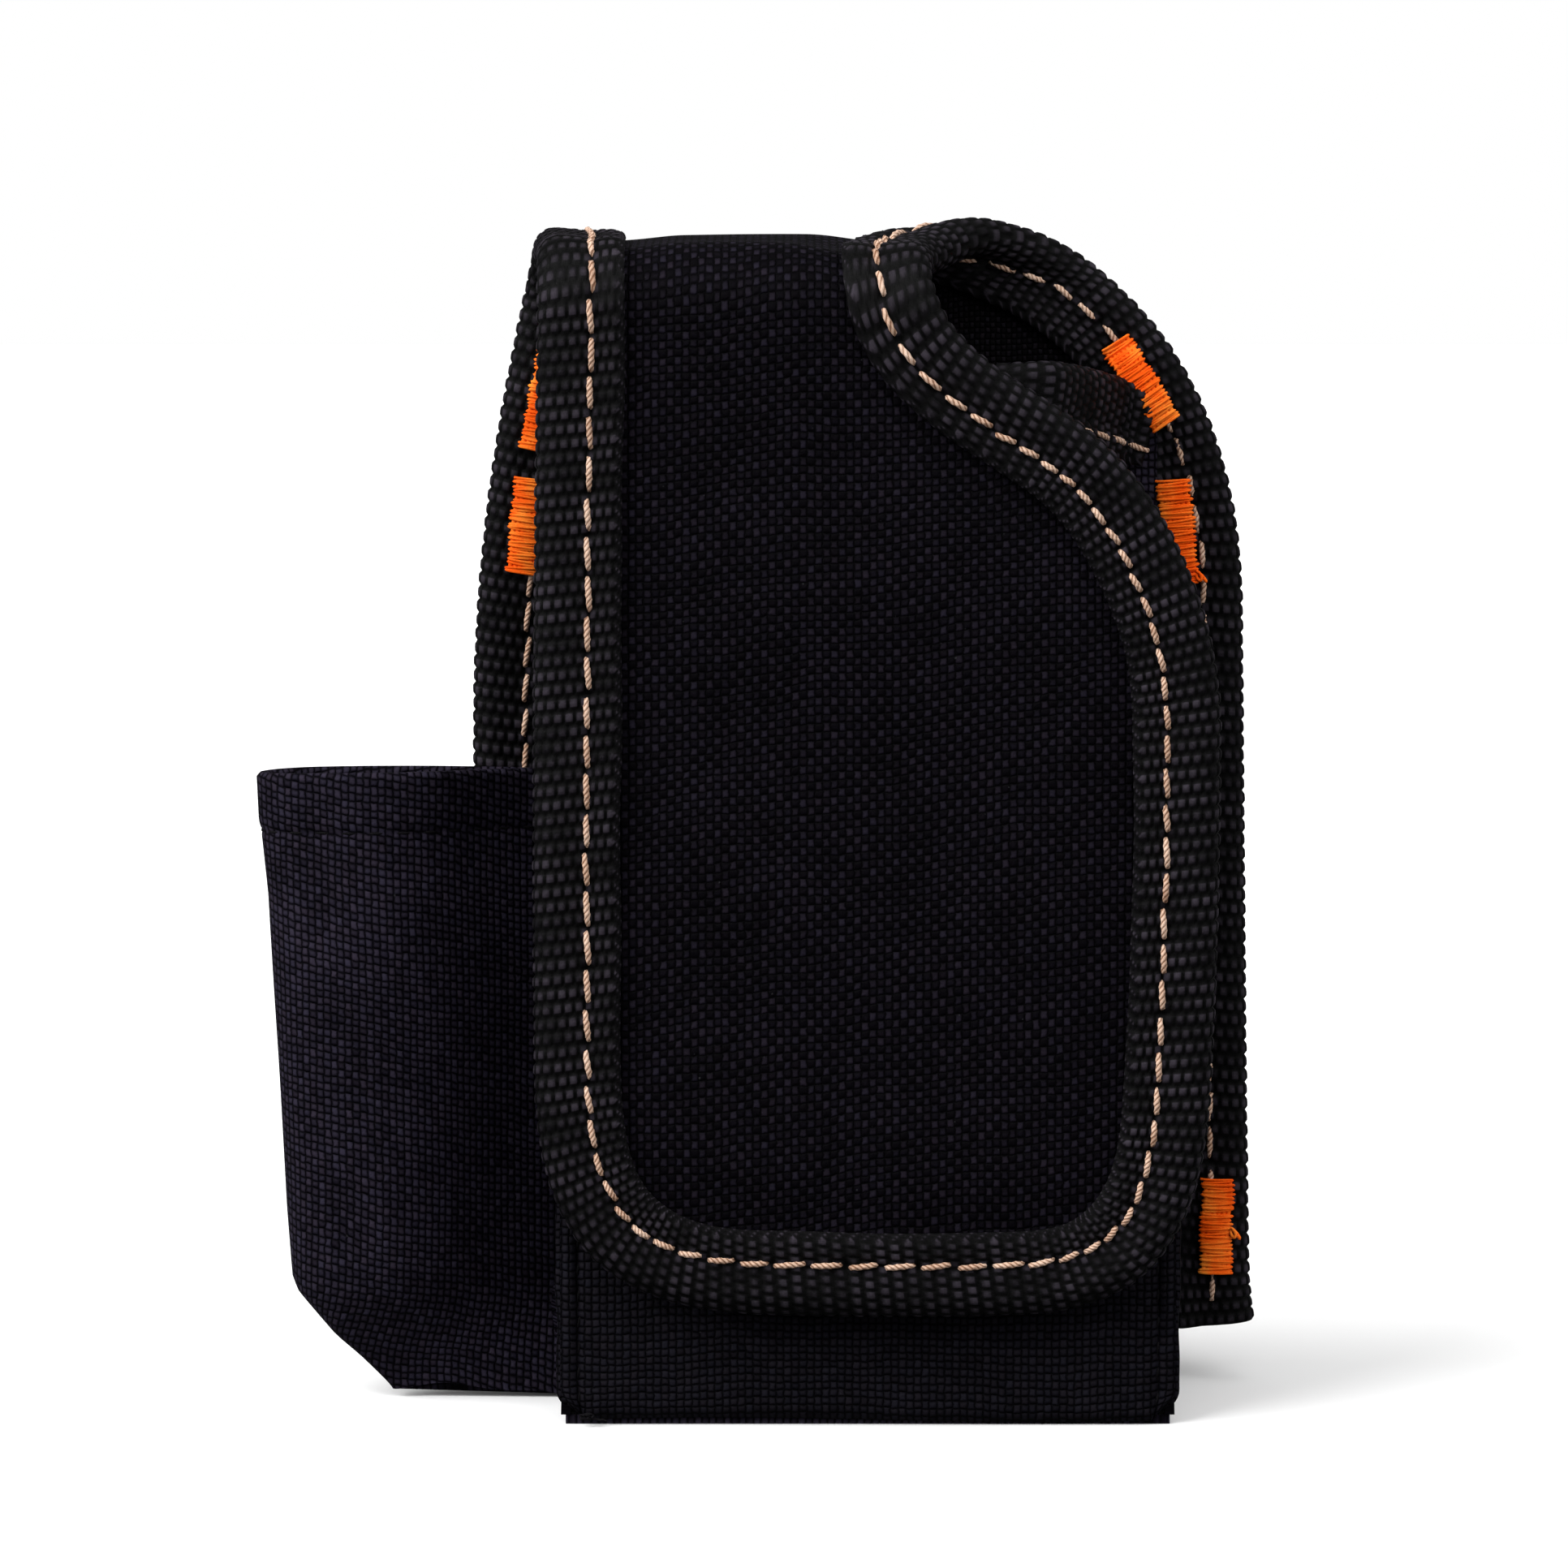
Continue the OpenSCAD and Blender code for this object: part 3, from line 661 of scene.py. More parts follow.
def thread_material(name, shadow, body, shine, rough=0.4, sheen=0.0, specular=0.25, plies=0.0):
    """Polyester thread, whose filaments run along it. plies is how dark the grooves between its plies are
    painted, as shade, and how deep they are in its bump.
    """
    m = Nodes(name, Sheen_Weight=sheen, Sheen_Roughness=0.35, Specular_IOR_Level=specular)
    vector, along, around = m.pattern()
    hairs = m.noise(vector, 6.0, rough=0.6, stretch=(0.7, 4.0, 1.0))
    tone = m.noise(m.place(), 260.0, rough=0.5)
    ply = (along / 0.72 + around / 0.87).fract().hump(0.5, 2.2)
    # painted shade in the grooves between the plies
    shade = hairs * 0.55 + tone * 0.55 - (1.0 - ply) * plies
    colour = m.ramp(shade, (0.3, shadow), (0.53, body), (0.76, shine))
    return m.finish(colour, hairs * 0.25 + rough, hairs + ply * (6 * plies), 0.00006)


def grainy(name, dark, light, scale=900.0, detail_rough=0.6, rough=0.4, roughness_range=0.3, specular=0.15,
           depth=0.0001):
    """A fine random grain, for open-cell foam and for short nylon filaments."""
    m = Nodes(name, Specular_IOR_Level=specular)
    tone = m.noise(m.place(), scale, rough=detail_rough)
    colour = m.ramp(tone, (0.3, dark), (0.7, light))
    return m.finish(colour, tone * roughness_range + rough, tone, depth)


# each woven cloth's colours: painted shade in its gaps, its own colour, and a painted highlight on its crowns
cloth = woven_cloth("cloth", (0.0002, 0.0002, 0.0003), (0.0013, 0.0010, 0.0019), (0.0119, 0.0101, 0.0170),
                    along=0.99, slope=0.105)
pocket_cloth = woven_cloth("pocket_cloth", (0.0002, 0.0002, 0.0004), (0.0035, 0.0029, 0.0055),
                           (0.0235, 0.0205, 0.0350), across=0.9, tip=(1.1, 0.75), sunk=0.75)
front_cloth = woven_cloth("front_cloth", (0.0003, 0.0003, 0.0004), (0.0022, 0.0020, 0.0032),
                          (0.0085, 0.0080, 0.0120), tip=(1.05, 0.85), sunk=0.85)
lining = woven_cloth("lining", (0.0003, 0.0002, 0.0003), (0.0012, 0.0010, 0.0015), (0.0075, 0.0063, 0.0092),
                     across=0.66, along=0.7, depth=0.0002)
# the webbing's colours: painted shade in its hollows, its own colour, and a painted highlight on the tops of
# its crossings
webbing = tape_material("webbing", (0.0002, 0.0002, 0.0002), (0.0022, 0.0018, 0.0026),
                        (0.0330, 0.0275, 0.0370))
foam = grainy("foam", (0.02, 0.02, 0.022), (0.07, 0.07, 0.075), 1500.0, 0.7, 0.75, 0.2, 0.2, 0.0003)
beige_thread = thread_material("beige_thread", (0.20, 0.09, 0.045), (0.60, 0.40, 0.29), (0.78, 0.60, 0.49),
                               rough=0.5, sheen=0.05, plies=0.3)
orange_thread = thread_material("orange_thread", (0.50, 0.026, 0.0003), (0.92, 0.105, 0.002),
                                (1.0, 0.37, 0.045), specular=0.06)
black_thread = thread_material("black_thread", (0.001, 0.001, 0.001), (0.003, 0.0026, 0.0034),
                               (0.007, 0.006, 0.008), specular=0.05)
hook_tape = grainy("hook_tape", (0.001, 0.001, 0.0015), (0.004, 0.004, 0.005))
loop_tape = grainy("loop_tape", (0.002, 0.002, 0.002), (0.006, 0.006, 0.007))


# ---- how pieces move ----

def stand_for(piece, slot, nodes):
    """Hides the CAD nodes that the piece replaces, if there are any. slot is not used."""
    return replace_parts(piece, *nodes) if nodes else piece


def fixed(shape, name, material, slot, *nodes, body="pouch", sharp=None):
    """A finished piece that moves with one body."""
    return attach(stand_for(shape.build(name, material, sharp), slot, nodes), body)


def follow_back(piece):
    """The piece, which lies between the pouch and the neck, has its place baked into its mesh."""
    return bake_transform(piece, "pouch", "neck", start=tuple(strip(0, -BACK_END, 0) * MM),
                    end=tuple(strip(0, -BACK_FLAT, 0) * MM))


def follow_front(piece):
    """The piece, which lies between the neck and the flap, has its place baked into its mesh."""
    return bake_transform(piece, "neck", "flap", start=tuple(strip(0, FRONT_FLAT, 0) * MM),
                    end=tuple(strip(0, FRONT_END, 0) * MM))


# ---- the strip's layers ----

flap_foot = front_s(14.6) - CLOTH_EDGE
neck_rows = [0, *np.linspace(1.5, FRONT_END, 16)]
flap_rows = np.array(neck_rows + list(np.linspace(neck_rows[-1] + 1.3, flap_foot - 3, 92))
                     + [flap_foot - d for d in (2.2, 1.5, 0.9, 0.5, 0.22, 0.05)])
back_rows = np.concatenate([np.linspace(back_s(7.0), -BACK_END - 1.3, 92), np.linspace(-BACK_END, 0, 16)])


HALF_EDGE = 1.05       # from the strip's middle plane out to its cloth at the tape


def front_face(x, s, depth):
    """Outer cloth: it dips where it goes under the tape and swells a little over the foam."""
    swell = 0.75 * smooth((depth - 9.2) / 9) + 0.32 * ripple(x, s, (31, 47, 70), 5) * smooth((depth - 10) / 6)
    creases = 0.22 * np.sin((x * 0.55 + s * 0.85) / 6.5) * smooth((depth - 11) / 8) * bell(s - 40, 26)
    return HALF_EDGE + swell + creases


def back_face(x, s, depth):
    """Lining: flatter than the outer cloth."""
    uneven = 0.15 * ripple(x, s, (29, 51), 9) * smooth((depth - 10) / 6)
    return -HALF_EDGE - 0.5 * smooth((depth - 9.2) / 8) - uneven


def beyond(face, rise):
    """A face moved out by rise."""
    return lambda x, s, depth: face(x, s, depth) + rise


def strip_layers(side, rows, follow, panel, core, inside):
    """The outer cloth, foam and lining of the flap, or of the back with the neck. panel, core and inside are
    the CAD nodes they replace."""
    for kind, slot, material, top, bottom, cols, nodes in (
        ("cloth", "cloth", cloth, front_face, beyond(front_face, -0.7), 96, panel),
        ("padding", "foam", foam, beyond(front_face, -0.75), beyond(back_face, 0.55), 30, core),
        ("inner_cloth", "lining", lining, back_face, beyond(back_face, 0.5), 96, inside),
    ):
        shape, area, wide, long = layer(rows, top, bottom, cols)
        piece = follow(stand_for(shape.build(f"{side}_{kind}", material, sharp=55), slot, nodes))


strip_layers("flap", flap_rows, follow_front, ["flap_panel"], ["flap_foam"], ["flap_lining"])
strip_layers("back", back_rows, follow_back, ["back_panel", "neck_panel"], ["back_foam", "neck_foam"],
             ["back_lining", "neck_lining"])


# ---- the strip's bound edges ----

# webbing over three thicknesses: half of each outside the tape and inside it, and the relief of its weave
STRIP_TAPE = {"half": 2.35, "inner_half": 1.3, "bump": 0.36}
WALL_TAPE = {"half": 1.65, "inner_half": 0.8, "bump": 0.3}
LOOP_TAPE = {"half": 1.75, "inner_half": 0.8, "bump": 0.3}


def sewn(t):
    """How far in from its edge the strip's seam lies."""
    return SEAM - 1.6 * smooth((t - over_right) / 14)


left_holes = over_left - stitch_ends(0, over_left, PITCH)[::-1]
right_holes = flap_holes[-1] + stitch_ends(0, outline.length - flap_holes[-1], PITCH)
for name, start, end, holes, follow, bindings, threads in (
    ("back_{}_left", 0, over_left, left_holes, follow_back, ("back_binding_left", "neck_binding_left"),
     ("back_thread_left", "neck_thread")),
    ("flap_{}", over_left, over_right, flap_holes, follow_front, ("flap_binding",), ("flap_thread",)),
    ("back_{}_right", over_right, None, right_holes, follow_back,
     ("back_binding_right", "neck_binding_right"), ("back_thread_right",)),
):
    edge = tape(outline, strip, **STRIP_TAPE, seed=4, start=start, end=end, holes=holes, sewn=sewn)
    follow(stand_for(edge.build(name.format("tape"), webbing), "webbing", bindings))
    shape = Shape()
    for face in (1, -1):
        seam(shape, outline, holes, strip, sewn, 2.28, face, seed=3 + face)
    follow(stand_for(shape.build(name.format("stitches"), beige_thread), "thread", threads))


# ---- the box pocket ----

POCKET_LEFT, POCKET_RIGHT = node_box("pocket_front")[0][0], node_box("pocket_front")[1][0]
POCKET_TOP = node_box("pocket_rim")[1][2]
WALL_BACK = node_box("gusset_left")[1][1]
WALL = 1.2             # thickness of the pocket's walls
FACE = 3.4             # from the flap's fold line back to the pocket's front face
FLANGE = 2.2           # from a corner's folded edge in to its row of stitches
DRAWN_IN = 16.0        # by which the mouth's right front corner is drawn in


def front_face_y(z):
    """Where the front face of the box pocket lies at a height z."""
    return joints["flap_fold"][1] + FACE / math.cos(LEAN) - (joints["flap_fold"][2] - z) * math.tan(LEAN)


def drawn_in(z):
    """How far the right front corner is drawn in at a height z."""
    return DRAWN_IN * smooth((z - 50) / 72)


def pocket_sides(x):
    """How far across the pocket x is, from 0 to 1, and how far it is from the nearer side."""
    return (x - POCKET_LEFT) / (POCKET_RIGHT - POCKET_LEFT), np.minimum(x - POCKET_LEFT, POCKET_RIGHT - x)


def on_front(x, z, n):
    """A place on the pocket's front, n out from its face. The foot is uneven, and its corners are rounded."""
    x, z, n = evenly(x, z, n)
    across, from_side = pocket_sides(x)
    lift = (0.3 * np.sin((x - POCKET_LEFT) / 12.5) + 0.3) * smooth((14 - z) / 14)
    lift = lift + 1.1 * smooth((2.8 - from_side) / 2.8) * smooth((5 - z) / 5)
    inward = 1.5 * smooth((3.4 - from_side) / 3.4) * smooth((4.5 - z) / 4.5) ** 1.5
    inward = np.where(across < 0.5, inward, -inward)
    return np.stack([x - across * drawn_in(z) + inward, front_face_y(z) - n, z + lift], -1)


def front_swell(x, z):
    """How far the front stands out from flat: a soft bulge, creased along its corner seams."""
    across, from_side = pocket_sides(x)
    bulge = 0.3 * np.sin(math.pi * across.clip(0, 1)) ** 0.6 * smooth(z / 18)
    bulge = bulge + 0.16 * ripple(x, z, (23, 41), 12)
    crease = 0.6 * bell(from_side - FLANGE, 0.5)
    edge = 0.55 * smooth((0.9 - from_side) / 0.9)
    foot = 1.0 * smooth((2.0 - z) / 2.0) ** 1.5
    return bulge * smooth((from_side - FLANGE) / 6) - crease - edge - foot


def slab(a, b, over, under, place, across=1.0):
    """A closed sheet over a grid of pattern lines, between two heights. across turns a into millimetres."""
    a, b = np.meshgrid(a, b)
    top, bottom = place(a, b, over(a, b)), place(a, b, under(a, b))
    return sandwich(top, bottom, np.stack([a * across, b], -1))


def level(height):
    """One height all over."""
    return lambda a, b: height + 0 * a


def cloth_sheet(shape, name, material, node, size, area=None, sharp=60):
    """A piece of cloth that moves with the pouch. Its flat size, in millimetres, is not used."""
    piece = fixed(shape, name, material, "cloth", node, sharp=sharp)
    size[0] * MM
    size[1] * MM


edge_steps = np.array([0, 0.25, 0.6, 1.0, 1.5, 1.9, 2.2, 2.5, 2.9, 3.6])
front_columns = np.concatenate([POCKET_LEFT + edge_steps, np.linspace(POCKET_LEFT + 5, POCKET_RIGHT - 5, 54),
                                POCKET_RIGHT - edge_steps[::-1]])
front_rows = np.concatenate([[0.35, 0.6, 1.0, 1.5, 2.1], np.linspace(3, POCKET_TOP - 1.8, 84)])
front = slab(front_columns, front_rows, front_swell,
             lambda x, z: np.minimum(front_swell(x, z), 0.4) - WALL, on_front)
cloth_sheet(front, "pocket_front_cloth", front_cloth, "pocket_front",
            (POCKET_RIGHT - POCKET_LEFT, POCKET_TOP))

# the mouth seen from above, from the back of the left side forward and round to the back of the right side
HALF_WALL = WALL / 2
mouth_front = front_face_y(POCKET_TOP) + HALF_WALL
plan = Path([[[POCKET_LEFT + HALF_WALL, WALL_BACK], [POCKET_LEFT + HALF_WALL, mouth_front],
              [POCKET_RIGHT - HALF_WALL - DRAWN_IN, mouth_front], [POCKET_RIGHT - 6.2, WALL_BACK - 1.5],
              [POCKET_RIGHT - 1.2, WALL_BACK - 0.6]]])
LEFT_CORNER = WALL_BACK - mouth_front
RIGHT_CORNER = LEFT_CORNER + POCKET_RIGHT - DRAWN_IN - POCKET_LEFT - WALL


def gusset(name, node, side):
    """A side wall of the box. It follows the mouth at the top and bows inward, as an empty pouch's does."""
    back_x = POCKET_RIGHT - HALF_WALL if side > 0 else POCKET_LEFT + HALF_WALL

    def middle(f, z):
        front_y = front_face_y(z) + WALL
        front_x = back_x - (drawn_in(z) if side > 0 else 0)
        bow = 1.6 * np.sin(math.pi * f) ** 1.4 * smooth(z / 25)
        low = np.stack([front_x + (back_x - front_x) * f - side * bow,
                        front_y + (WALL_BACK - front_y) * f], -1)
        run = 0.05 + 0.95 * f
        run = RIGHT_CORNER + (plan.length - RIGHT_CORNER) * run if side > 0 else LEFT_CORNER * (1 - run)
        top = plan.at(run, np.zeros(np.shape(run)))
        # its rear edge turns back on to the padded back
        meet = np.stack([0 * f, 1.7 * f ** 8], -1)
        return low + (top - low) * smooth((z - 88) / 26)[..., None] + meet

    def place(f, z, n):
        f, z, n = evenly(f, z, n)
        here = middle(f, z)
        along = unit(middle(f + 0.02, z) - here)
        return np.stack([here[..., 0] + side * along[..., 1] * n,
                         here[..., 1] - side * along[..., 0] * n, z], -1)

    shape = slab(np.linspace(0, 0.98, 34), np.linspace(1.2, POCKET_TOP - 2.4, 80),
                 lambda f, z: HALF_WALL + 0.12 * ripple(f * 24, z, (17, 29), 20) * smooth((112 - z) / 20),
                 level(-HALF_WALL), place, across=26)
    cloth_sheet(shape, name, pocket_cloth, node, (WALL_BACK - front_face_y(0), POCKET_TOP))


gusset("left_gusset_cloth", "gusset_left", -1)
gusset("right_gusset_cloth", "gusset_right", 1)

base_low, base_high = node_box("pocket_base")
base = slab(np.linspace(base_low[0] + 0.6, base_high[0] - 0.6, 40),
            np.linspace(base_low[1] + 0.8, base_high[1] - 0.6, 18), level(1.1),
            lambda x, y: 0.03 + 0.25 * (np.sin((x - base_low[0]) / 9) * np.sin(y / 5)) ** 2,
            lambda x, y, n: np.stack([x, y, n], -1))
cloth_sheet(base, "pocket_base_cloth", pocket_cloth, "pocket_base", base_high - base_low)

# the folded edges of the corner seams, and their stitches
seams, corner_stitches = Shape(), Shape()
for side in (-1, 1):
    edge_x = POCKET_RIGHT if side > 0 else POCKET_LEFT
    z = np.concatenate([np.linspace(0.5, 4, 14)[:-1], np.linspace(4, POCKET_TOP - 9, 88)])
    for inward, back_by, radius in ((0.15, 1.5, 0.75), (0.7, 2.4, 0.7)):
        wander = 0.11 * np.sin(z / 3.1 + inward * 9) + 0.07 * np.sin(z / 1.3 + back_by)
        line = on_front(edge_x - side * inward + side * wander, z, -back_by)
        tube(seams, line, radius * (0.25 + 0.75 * smooth((z - 0.4) / 2)), 10)
    line = Path([[[edge_x - side * FLANGE, 1.5], [edge_x - side * FLANGE, POCKET_TOP - 11]]])
    seam(corner_stitches, line, stitch_ends(0, line.length, 3.2), on_front, 0.0, -0.8, between=0.5, seed=31,
         radius=0.17)
# a tangle of loose thread at the lower left corner
draw = np.random.default_rng(29)
knot = np.cumsum(draw.normal(0, 0.5, (46, 3)), axis=0)
knot = (knot - knot.mean(0)) / np.abs(knot).max() * 1.9
knot = np.stack([np.interp(np.linspace(0, 45, 270), np.arange(46), knot[:, k]) for k in range(3)], 1)
tube(corner_stitches, on_front(POCKET_LEFT + 3.4, 0.9, 0.5) + knot * [1.3, 0.5, 0.42], 0.14)
fixed(seams, "pocket_corner_seams", front_cloth, "cloth")
fixed(corner_stitches, "pocket_corner_stitches", black_thread, "thread")


# webbing over the mouth: its pattern runs forward along the left, across the front and back along the right

def on_wall(p, z, n):
    """A place on the pocket's walls, n out from their middle."""
    p, z, n = evenly(p, z, n)
    flat = plan.at(p, n)
    lean = (POCKET_TOP - z) * math.tan(LEAN) * smooth((WALL_BACK - flat[..., 1]) / 18)
    return np.stack([flat[..., 0], flat[..., 1] - lean, z], -1)


right_run = RIGHT_CORNER + 1
mouth_z = POCKET_TOP - 0.4
mouth = Path([[[0, mouth_z]], curves(
    (right_run - 30, mouth_z),
    ((right_run - 12, mouth_z), (right_run - 8, mouth_z + 1.2), (right_run, mouth_z + 1.2)),
    ((right_run + 8, mouth_z + 1.0), (plan.length - 6, mouth_z - 1.2), (plan.length, mouth_z - 2.0)))])
fixed(tape(mouth, on_wall, **WALL_TAPE, seed=8), "pocket_rim_tape", webbing, "webbing", "pocket_rim")
rim_stitches = Shape()
rim_holes = np.linspace(0, mouth.length, round(mouth.length / PITCH) + 1)
for face in (1, -1):
    seam(rim_stitches, mouth, rim_holes, on_wall, 7.9, 1.6, face, seed=40 + face)
fixed(rim_stitches, "pocket_rim_stitches", beige_thread, "thread", "pocket_rim_thread")


# ---- the side pocket ----

MOUTH_Z = node_box("side_pocket")[1][2] + 0.3
HEM_Z = MOUTH_Z - 7.2
ROOT_X = POCKET_LEFT + 0.2
SIDE_T = 1.1           # thickness of its cloth
side_left_z = [0.8, 1.6, 8.0, 13.6, 15.4, 24, 43, 63.3, 71, 79]
side_left_x = [-46.0, -46.6, -53.0, -57.6, -58.3, -58.9, -59.8, -60.9, -61.7, -62.0]


def side_half(z):
    """Half of the side pocket's depth at a height z: it is closed at its foot."""
    return 0.62 + 5.0 * smooth((z - 0.5) / 17) ** 0.8


def hem_wave(x):
    """The mouth's rise and fall."""
    return 0.35 * np.sin((x + 62) / 11.5)


def side_section(z, count=26):
    """The side pocket's outer face at a height z: from its root in front, round its edge, to that behind."""
    left = np.interp(z, side_left_z, side_left_x)
    half = side_half(z) + 0.5 * math.sin(z / 24) - 0.5 * smooth((z - 60) / 18)
    round_run = 0.9 + 6.2 * smooth(z / 20)
    x = ROOT_X + (left + round_run - ROOT_X) * np.linspace(0, 1, count)
    height = np.full(count, z)
    valley = 0.5 * bell(x + 32.5, 4.2) * smooth(z / 26) * (0.6 + 0.4 * math.cos((z - 34) / 22))
    belly = 0.9 * bell(x + 47, 8) * smooth(z / 30) * smooth((86 - z) / 40)
    dents = 0.35 * ripple(x, height, (19, 33, 27), 51) * smooth(z / 10)
    past = np.maximum(x + 48, 0)
    recede = 0.56 * np.where(past < 10, past * past / 20, past - 5) * smooth(z / 15)
    turned = 2.0 * smooth((-50 - x) / 10) * smooth(z / 26)
    front_y = -(half + belly - valley - recede - turned) + dents
    back_y = half * 0.92 + 0.3 * ripple(x, height, (21, 37), 52) * smooth(z / 10)
    a = np.linspace(-math.pi / 2, math.pi / 2, 22)[1:-1]
    mid = (front_y[-1] + back_y[-1]) / 2
    deep = (back_y[-1] - front_y[-1]) / 2
    end = np.stack([left + round_run - round_run * np.cos(a), mid + deep * np.sin(a)], 1)
    return np.vstack([np.stack([x, front_y], 1), end, np.stack([x, back_y], 1)[::-1]])


def outward(line):
    """The directions out of a side pocket's section."""
    d = unit(np.gradient(line, axis=0))
    out = np.stack([d[:, 1], -d[:, 0]], 1)
    middle = len(line) // 2
    return out if (line[middle] - line.mean(0)) @ out[middle] > 0 else -out


def side_pocket():
    """One sheet folded round, open at the top, with a hem that is sewn in black."""
    rows = np.concatenate([[0.75, 1.0, 1.4, 2.0, 2.8], np.linspace(3.8, HEM_Z - 1.4, 74),
                           HEM_Z + np.array([-0.9, -0.5, -0.2, 0, 0.2, 0.5, 0.9]),
                           np.linspace(HEM_Z + 1.6, MOUTH_Z - 0.9, 9), MOUTH_Z - np.array([0.5, 0.2, 0])])
    rings, uvs, widths = [], [], []
    for z in rows:
        line = side_section(z)
        x, out, run = line[:, 0], outward(line), run_along(line)
        hem = 0.25 * smooth((z - HEM_Z) / 1.4) - 0.14 * bell(z - HEM_Z, 0.3)
        lip = 0.45 * smooth((z - MOUTH_Z + 0.6) / 0.6) ** 2
        thick = min(SIDE_T + max(hem, 0), side_half(z) * 0.92)
        pucker = 0.45 * np.sin((x + 20) / 3.4) + 0.3 * np.sin((x + 31) / 1.9)
        height = z + smooth((9 - z) / 9) * (0.9 + 0.8 * pucker - 0.8 * smooth((x + 44) / 15))
        height = np.maximum(height + hem_wave(x) * smooth((z - HEM_Z + 3) / 6), 0.1)
        outer, inner = line + out * (hem - lip), line - out * (thick - lip)
        rings.append(np.vstack([np.column_stack([outer, height]), np.column_stack([inner, height])[::-1]]))
        u = np.concatenate([run, run[::-1], run[:1]])
        uvs.append(np.stack([u, z - 0.2 * u], 1))
        widths.append(run[-1])
    shape = Shape()
    shape.loft(rings, np.array(uvs))
    cloth_sheet(shape, "side_pocket_cloth", pocket_cloth, "side_pocket", (max(widths), rows[-1] - rows[0]),
                area=flat_area(np.array(widths), rows) * MM * MM, sharp=70)

    stitches = Shape()
    line = side_section(HEM_Z)
    run, out = run_along(line), outward(line)
    pitch, long = 3.4, 2.9
    for k in range(int(run[-1] / pitch)):
        t = (k + 0.5) * pitch + np.linspace(-long / 2, long / 2, 13)
        x, y, out_x, out_y = (np.interp(t, run, values) for values in (*line.T, *out.T))
        normals = unit(np.stack([out_x, out_y, 0 * t], 1))
        points = np.stack([x, y, HEM_Z + 0.5 * hem_wave(x)], 1) - normals * 0.42
        stitch(stitches, points, normals, long, 0.2, 8)
    fixed(stitches, "side_pocket_stitches", black_thread, "thread")


side_pocket()


# ---- the belt loop ----

LOOP_LOW, LOOP_HIGH = node_box("belt_loop")[0][2], node_box("belt_loop")[1][2]
LOOP_LEFT, LOOP_RIGHT = node_box("belt_loop_binding_left")[0][0], node_box("belt_loop_binding_right")[1][0]
TAB = 12.0             # height of each sewn end
LIFT_RUN = 9.0         # height over which the loop rises off the back
LIFT = 4.6             # room for the belt
LOOP_MID = BACK_Y + 2.6 + 1.95    # middle of the loop's cloth at its sewn ends
HALF_LOOP = 0.7        # half of its cloth's thickness
UNDER_TAPE = 8         # from the webbing's edge in to the loop's cloth


def on_loop(x, z, n):
    """A place on the belt loop, n behind its middle."""
    x, z, n = evenly(x, z, n)
    rise = LIFT * smooth((np.minimum(z - LOOP_LOW, LOOP_HIGH - z) - TAB) / LIFT_RUN)
    slack = 0.35 * ripple(x, z, (37, 61), 61) * rise / LIFT
    return np.stack([x, LOOP_MID + rise + slack + n, z], -1)


def loop_face(x, z):
    """The loop's outer face, with a groove along the stitches of each sewn end."""
    edge = np.minimum(x - LOOP_LEFT, LOOP_RIGHT - x)
    end = np.minimum(z - LOOP_LOW, LOOP_HIGH - z)
    groove = 0.35 * bell(end - TAB / 2, 0.5)
    return HALF_LOOP + 0.25 * smooth((edge - 9.5) / 5) - groove - 0.4 * smooth((0.7 - end) / 0.7)


loop_ends = np.array([0.15, 0.4, 0.8])
loop_rows = np.concatenate([LOOP_LOW + loop_ends, np.linspace(LOOP_LOW + 1.4, LOOP_HIGH - 1.4, 110),
                            LOOP_HIGH - loop_ends[::-1]])
loop_cloth = slab(np.linspace(LOOP_LEFT + UNDER_TAPE, LOOP_RIGHT - UNDER_TAPE, 70), loop_rows, loop_face,
                  level(-HALF_LOOP), on_loop)
loop_wide, loop_tall = LOOP_RIGHT - LOOP_LEFT - 2 * UNDER_TAPE, LOOP_HIGH - LOOP_LOW
cloth_sheet(loop_cloth, "belt_loop_cloth", cloth, "belt_loop", (loop_wide, loop_tall + 2),
            area=loop_wide * loop_tall * MM * MM)

loop_stitches, tab_stitches = Shape(), Shape()
for name, edge in (("left", [[LOOP_LEFT, LOOP_LOW], [LOOP_LEFT, LOOP_HIGH]]),
                   ("right", [[LOOP_RIGHT, LOOP_HIGH], [LOOP_RIGHT, LOOP_LOW]])):
    line = Path([edge])
    fixed(tape(line, on_loop, **LOOP_TAPE, seed=15), f"belt_loop_tape_{name}", webbing, "webbing",
          f"belt_loop_binding_{name}")
    holes = stitch_ends(1, line.length, PITCH)
    for face in (1, -1):
        seam(loop_stitches, line, holes, on_loop, SEAM, 1.66, face, seed=60 + face)
fixed(loop_stitches, "belt_loop_stitches", beige_thread, "thread", "belt_loop_thread")
for height in (LOOP_LOW + TAB / 2, LOOP_HIGH - TAB / 2):
    line = Path([[[LOOP_LEFT + 9, height], [LOOP_RIGHT - 9, height]]])
    seam(tab_stitches, line, stitch_ends(0, line.length, 3.4), on_loop, 0.0, 0.62, between=0.5, seed=66,
         radius=0.3)
fixed(tab_stitches, "belt_loop_tab_stitches", black_thread, "thread")


# ---- bar tacks ----

def on_back(x, z, n):
    """A place on the back, n in front of its middle."""
    return strip(x, back_s(z), -np.asarray(n, float))


def on_rear(x, z, n):
    """A place on the back, n behind its middle."""
    return strip(x, back_s(z), n)


